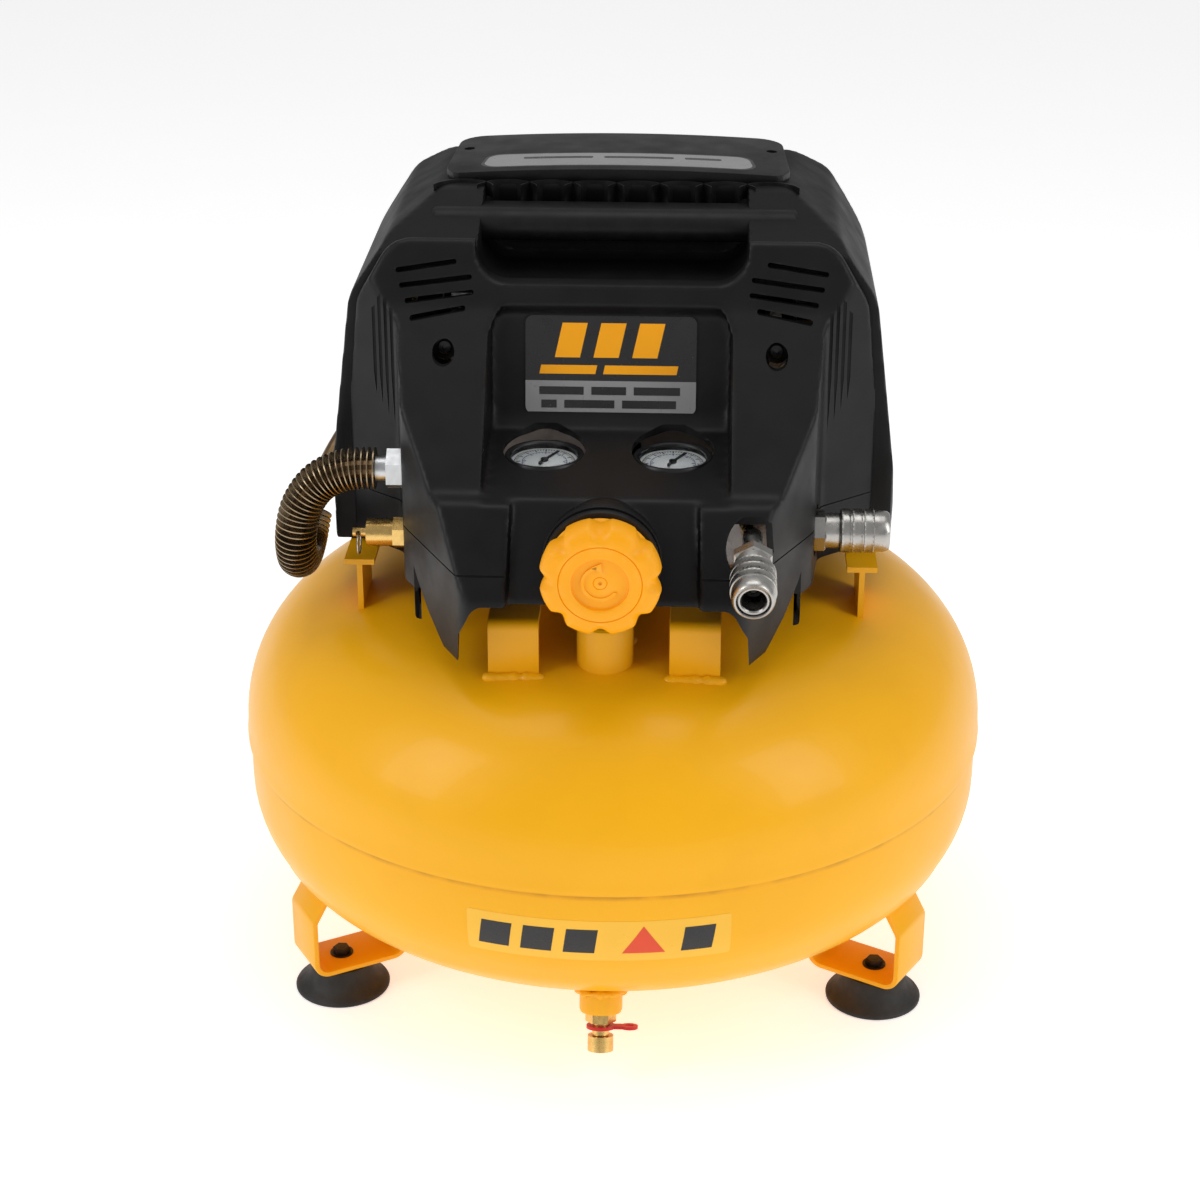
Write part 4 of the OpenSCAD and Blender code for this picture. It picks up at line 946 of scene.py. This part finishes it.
keep(smooth(place(rim, REG), 40), shroud)

# ---------------------------------------------------------------- gauges

for side, word in ((-1, "left"), (1, "right")):
    x = side * GAUGE_X
    bezel = lathe(f"gauge_case_{word}", [(19.6, 296), (20.6, 298), (20.7, 311), (20.5, 313.0),
                                         (19.9, 313.8), (18.8, 313.9), (17.9, 313.3), (17.3, 312),
                                         (17.2, 309.1), (10, 309.1)], 96)
    stem = rod("stem", (0, 0, 276), (0, 0, 297), 8)
    case = place(join(f"gauge_case_{word}", [bezel, stem]), at(x, GAUGE_Y, 0))
    keep(smooth(case, 40), black_steel, stands_for=["gauge_cases"] if side < 0 else ())
    face = finish(f"gauge_dial_print_{word}", (0.86, 0.87, 0.86), 0.5, vary=0.02, patch=60, grain=500,
                  bump=0.02, extra=dial_marks(x, GAUGE_Y))
    dial = place(lathe(f"gauge_dial_{word}",
                       [(17.2, 309.15), (17.2, 309.5), (17.0, 309.6), (0.01, 309.6)], 64, cap_end=False),
                       at(x, GAUGE_Y, 0))
    keep(smooth(dial), face)
    glass = place(lathe(f"gauge_window_{word}",
                        [(17.25, 312.0), (17.25, 312.7), (16.8, 312.9), (9, 313.05), (0.01, 313.1)], 64,
                        cap_end=False), at(x, GAUGE_Y, 0))
    keep(smooth(glass, 50), lens, stands_for=["gauge_lenses"] if side < 0 else ())

# ---------------------------------------------------------------- quick couplers


def knurled(name, rings, bands, sides=72):
    """A turned sleeve whose bands carry a pressed diamond pattern."""
    full = []
    for (r0, z0), (r1, z1) in zip(rings, rings[1:]):
        full.append((r0, z0))
        if any(lo <= min(z0, z1) and max(z0, z1) <= hi for lo, hi in bands):
            steps = max(1, round(abs(z1 - z0) / 0.75))
            full += [(r0 + (r1 - r0) * k / steps, z0 + (z1 - z0) * k / steps) for k in range(1, steps)]
    full.append(rings[-1])
    obj = lathe(name, full, sides, cap_start=False, cap_end=False)
    for vert in obj.data.vertices:
        z = vert.co.z / MM
        if any(lo + 0.2 < z < hi - 0.2 for lo, hi in bands):
            column = round(math.degrees(math.atan2(vert.co.y, vert.co.x)) / 360 * sides)
            row = round(z / 0.75)
            r = math.hypot(vert.co.x, vert.co.y) / MM
            if (column + row) % 2:
                vert.co.x *= 1 - 0.45 / r
                vert.co.y *= 1 - 0.45 / r
    return obj


def coupler(word, spot, body):
    sleeve = knurled(f"coupler_sleeve_{word}",
                     [(10.2, -25.8), (11.1, -25.6), (11.45, -25), (11.45, -20.6), (10.7, -20.4),
                      (10.7, -19.6), (11.45, -19.4),
                                                (11.45, -14.6), (10.7, -14.4), (10.7, -13.6),
                                                (11.45, -13.4), (11.45, -8.6), (10.9, -8.2),
                                                (10.8, -3.4), (10.2, -1.2),
                                                (9.5, -0.3), (9.0, -0.1), (8.6, -0.3), (8.4, -1.4),
                                                (8.3, -3), (9.75, -3.2), (9.75, -25.6), (10.2, -25.8)],
                     [(-25, -20.6), (-19.4, -14.6), (-13.4, -8.6)])
    keep(smooth(place(sleeve, spot), 25), nickel, body, [f"sleeve_{word}"])
    core = lathe("core", [(5, -59.8), (5, -40.2), (8.8, -40), (9.2, -39.6), (9.2, -27), (8.8, -26),
                          (8.2, -4.5), (8.0, -1.6), (7.4, -0.9), (6.6, -1.1), (6.1, -1.9),
                          (6.0, -18), (4, -19), (2, -19)], 64, cap_start=True, cap_end=True)
    hexagon = lathe("hex", [(9.6, -40), (10.9, -39.2), (10.9, -33.8), (9.6, -33)], 6)
    body_piece = join(f"coupler_body_{word}", [core, hexagon])
    keep(smooth(place(body_piece, spot), 30), nickel, stands_for=[f"coupler_{word}"])
    valve = lathe(f"coupler_valve_{word}",
                  [(0.6, -18.9), (4.6, -18.4), (4.9, -13), (4.2, -11.4), (2.2, -11), (1.8, -11.6),
                   (0.01, -11.8)], 32, cap_end=False)
    keep(smooth(place(valve, spot), 35), dark_bore)


coupler("side", SIDE_PORT, "side_sleeve")
coupler("front", FRONT_PORT, "front_sleeve")

# ---------------------------------------------------------------- floor, light and camera

bpy.ops.mesh.primitive_plane_add(size=14, location=(0, 0, 0))
floor = bpy.context.object
floor.name = "studio_floor"
pale = finish("studio_white", (0.90, 0.90, 0.90), 0.6, vary=0.004, patch=2, grain=50, bump=0.0)
pale.node_tree.nodes["Principled BSDF"].inputs["Emission Color"].default_value = (1, 1, 1, 1)
pale.node_tree.nodes["Principled BSDF"].inputs["Emission Strength"].default_value = 0.5
floor.data.materials.append(pale)

world = bpy.data.worlds.new("studio")
bpy.context.scene.world = world
world.use_nodes = True
world.node_tree.nodes["Background"].inputs["Color"].default_value = (1, 1, 1, 1)
world.node_tree.nodes["Background"].inputs["Strength"].default_value = 0.40


def softbox(name, spot, aim, width, height, power):
    lamp = bpy.data.lights.new(name, "AREA")
    lamp.shape = "RECTANGLE"
    lamp.size = width
    lamp.size_y = height
    lamp.energy = power
    obj = bpy.data.objects.new(name, lamp)
    bpy.context.collection.objects.link(obj)
    obj.location = spot
    obj.rotation_euler = (Vector(aim) - Vector(spot)).to_track_quat("-Z", "Y").to_euler()


softbox("softbox_left", (-1.5, -0.9, 1.2), (0, 0, 0.25), 0.7, 1.4, 12)
softbox("softbox_right", (1.5, -0.8, 1.1), (0, 0, 0.25), 0.7, 1.4, 10)
softbox("softbox_top", (0, 0.1, 2.0), (0, 0, 0.3), 1.6, 1.0, 8)

lens_data = bpy.data.cameras.new("camera")
lens_data.lens = 75
lens_data.sensor_width = 36
camera = bpy.data.objects.new("camera", lens_data)
bpy.context.collection.objects.link(camera)
camera.location = (0.0443, -1.268, 0.777)
pitch, yaw = math.radians(24.46), math.radians(-2.33)
camera.rotation_euler = Vector((math.sin(yaw) * math.cos(pitch), math.cos(yaw) * math.cos(pitch),
                                -math.sin(pitch))).to_track_quat("-Z", "Y").to_euler()
bpy.context.scene.camera = camera
bpy.context.scene.view_settings.view_transform = "Standard"
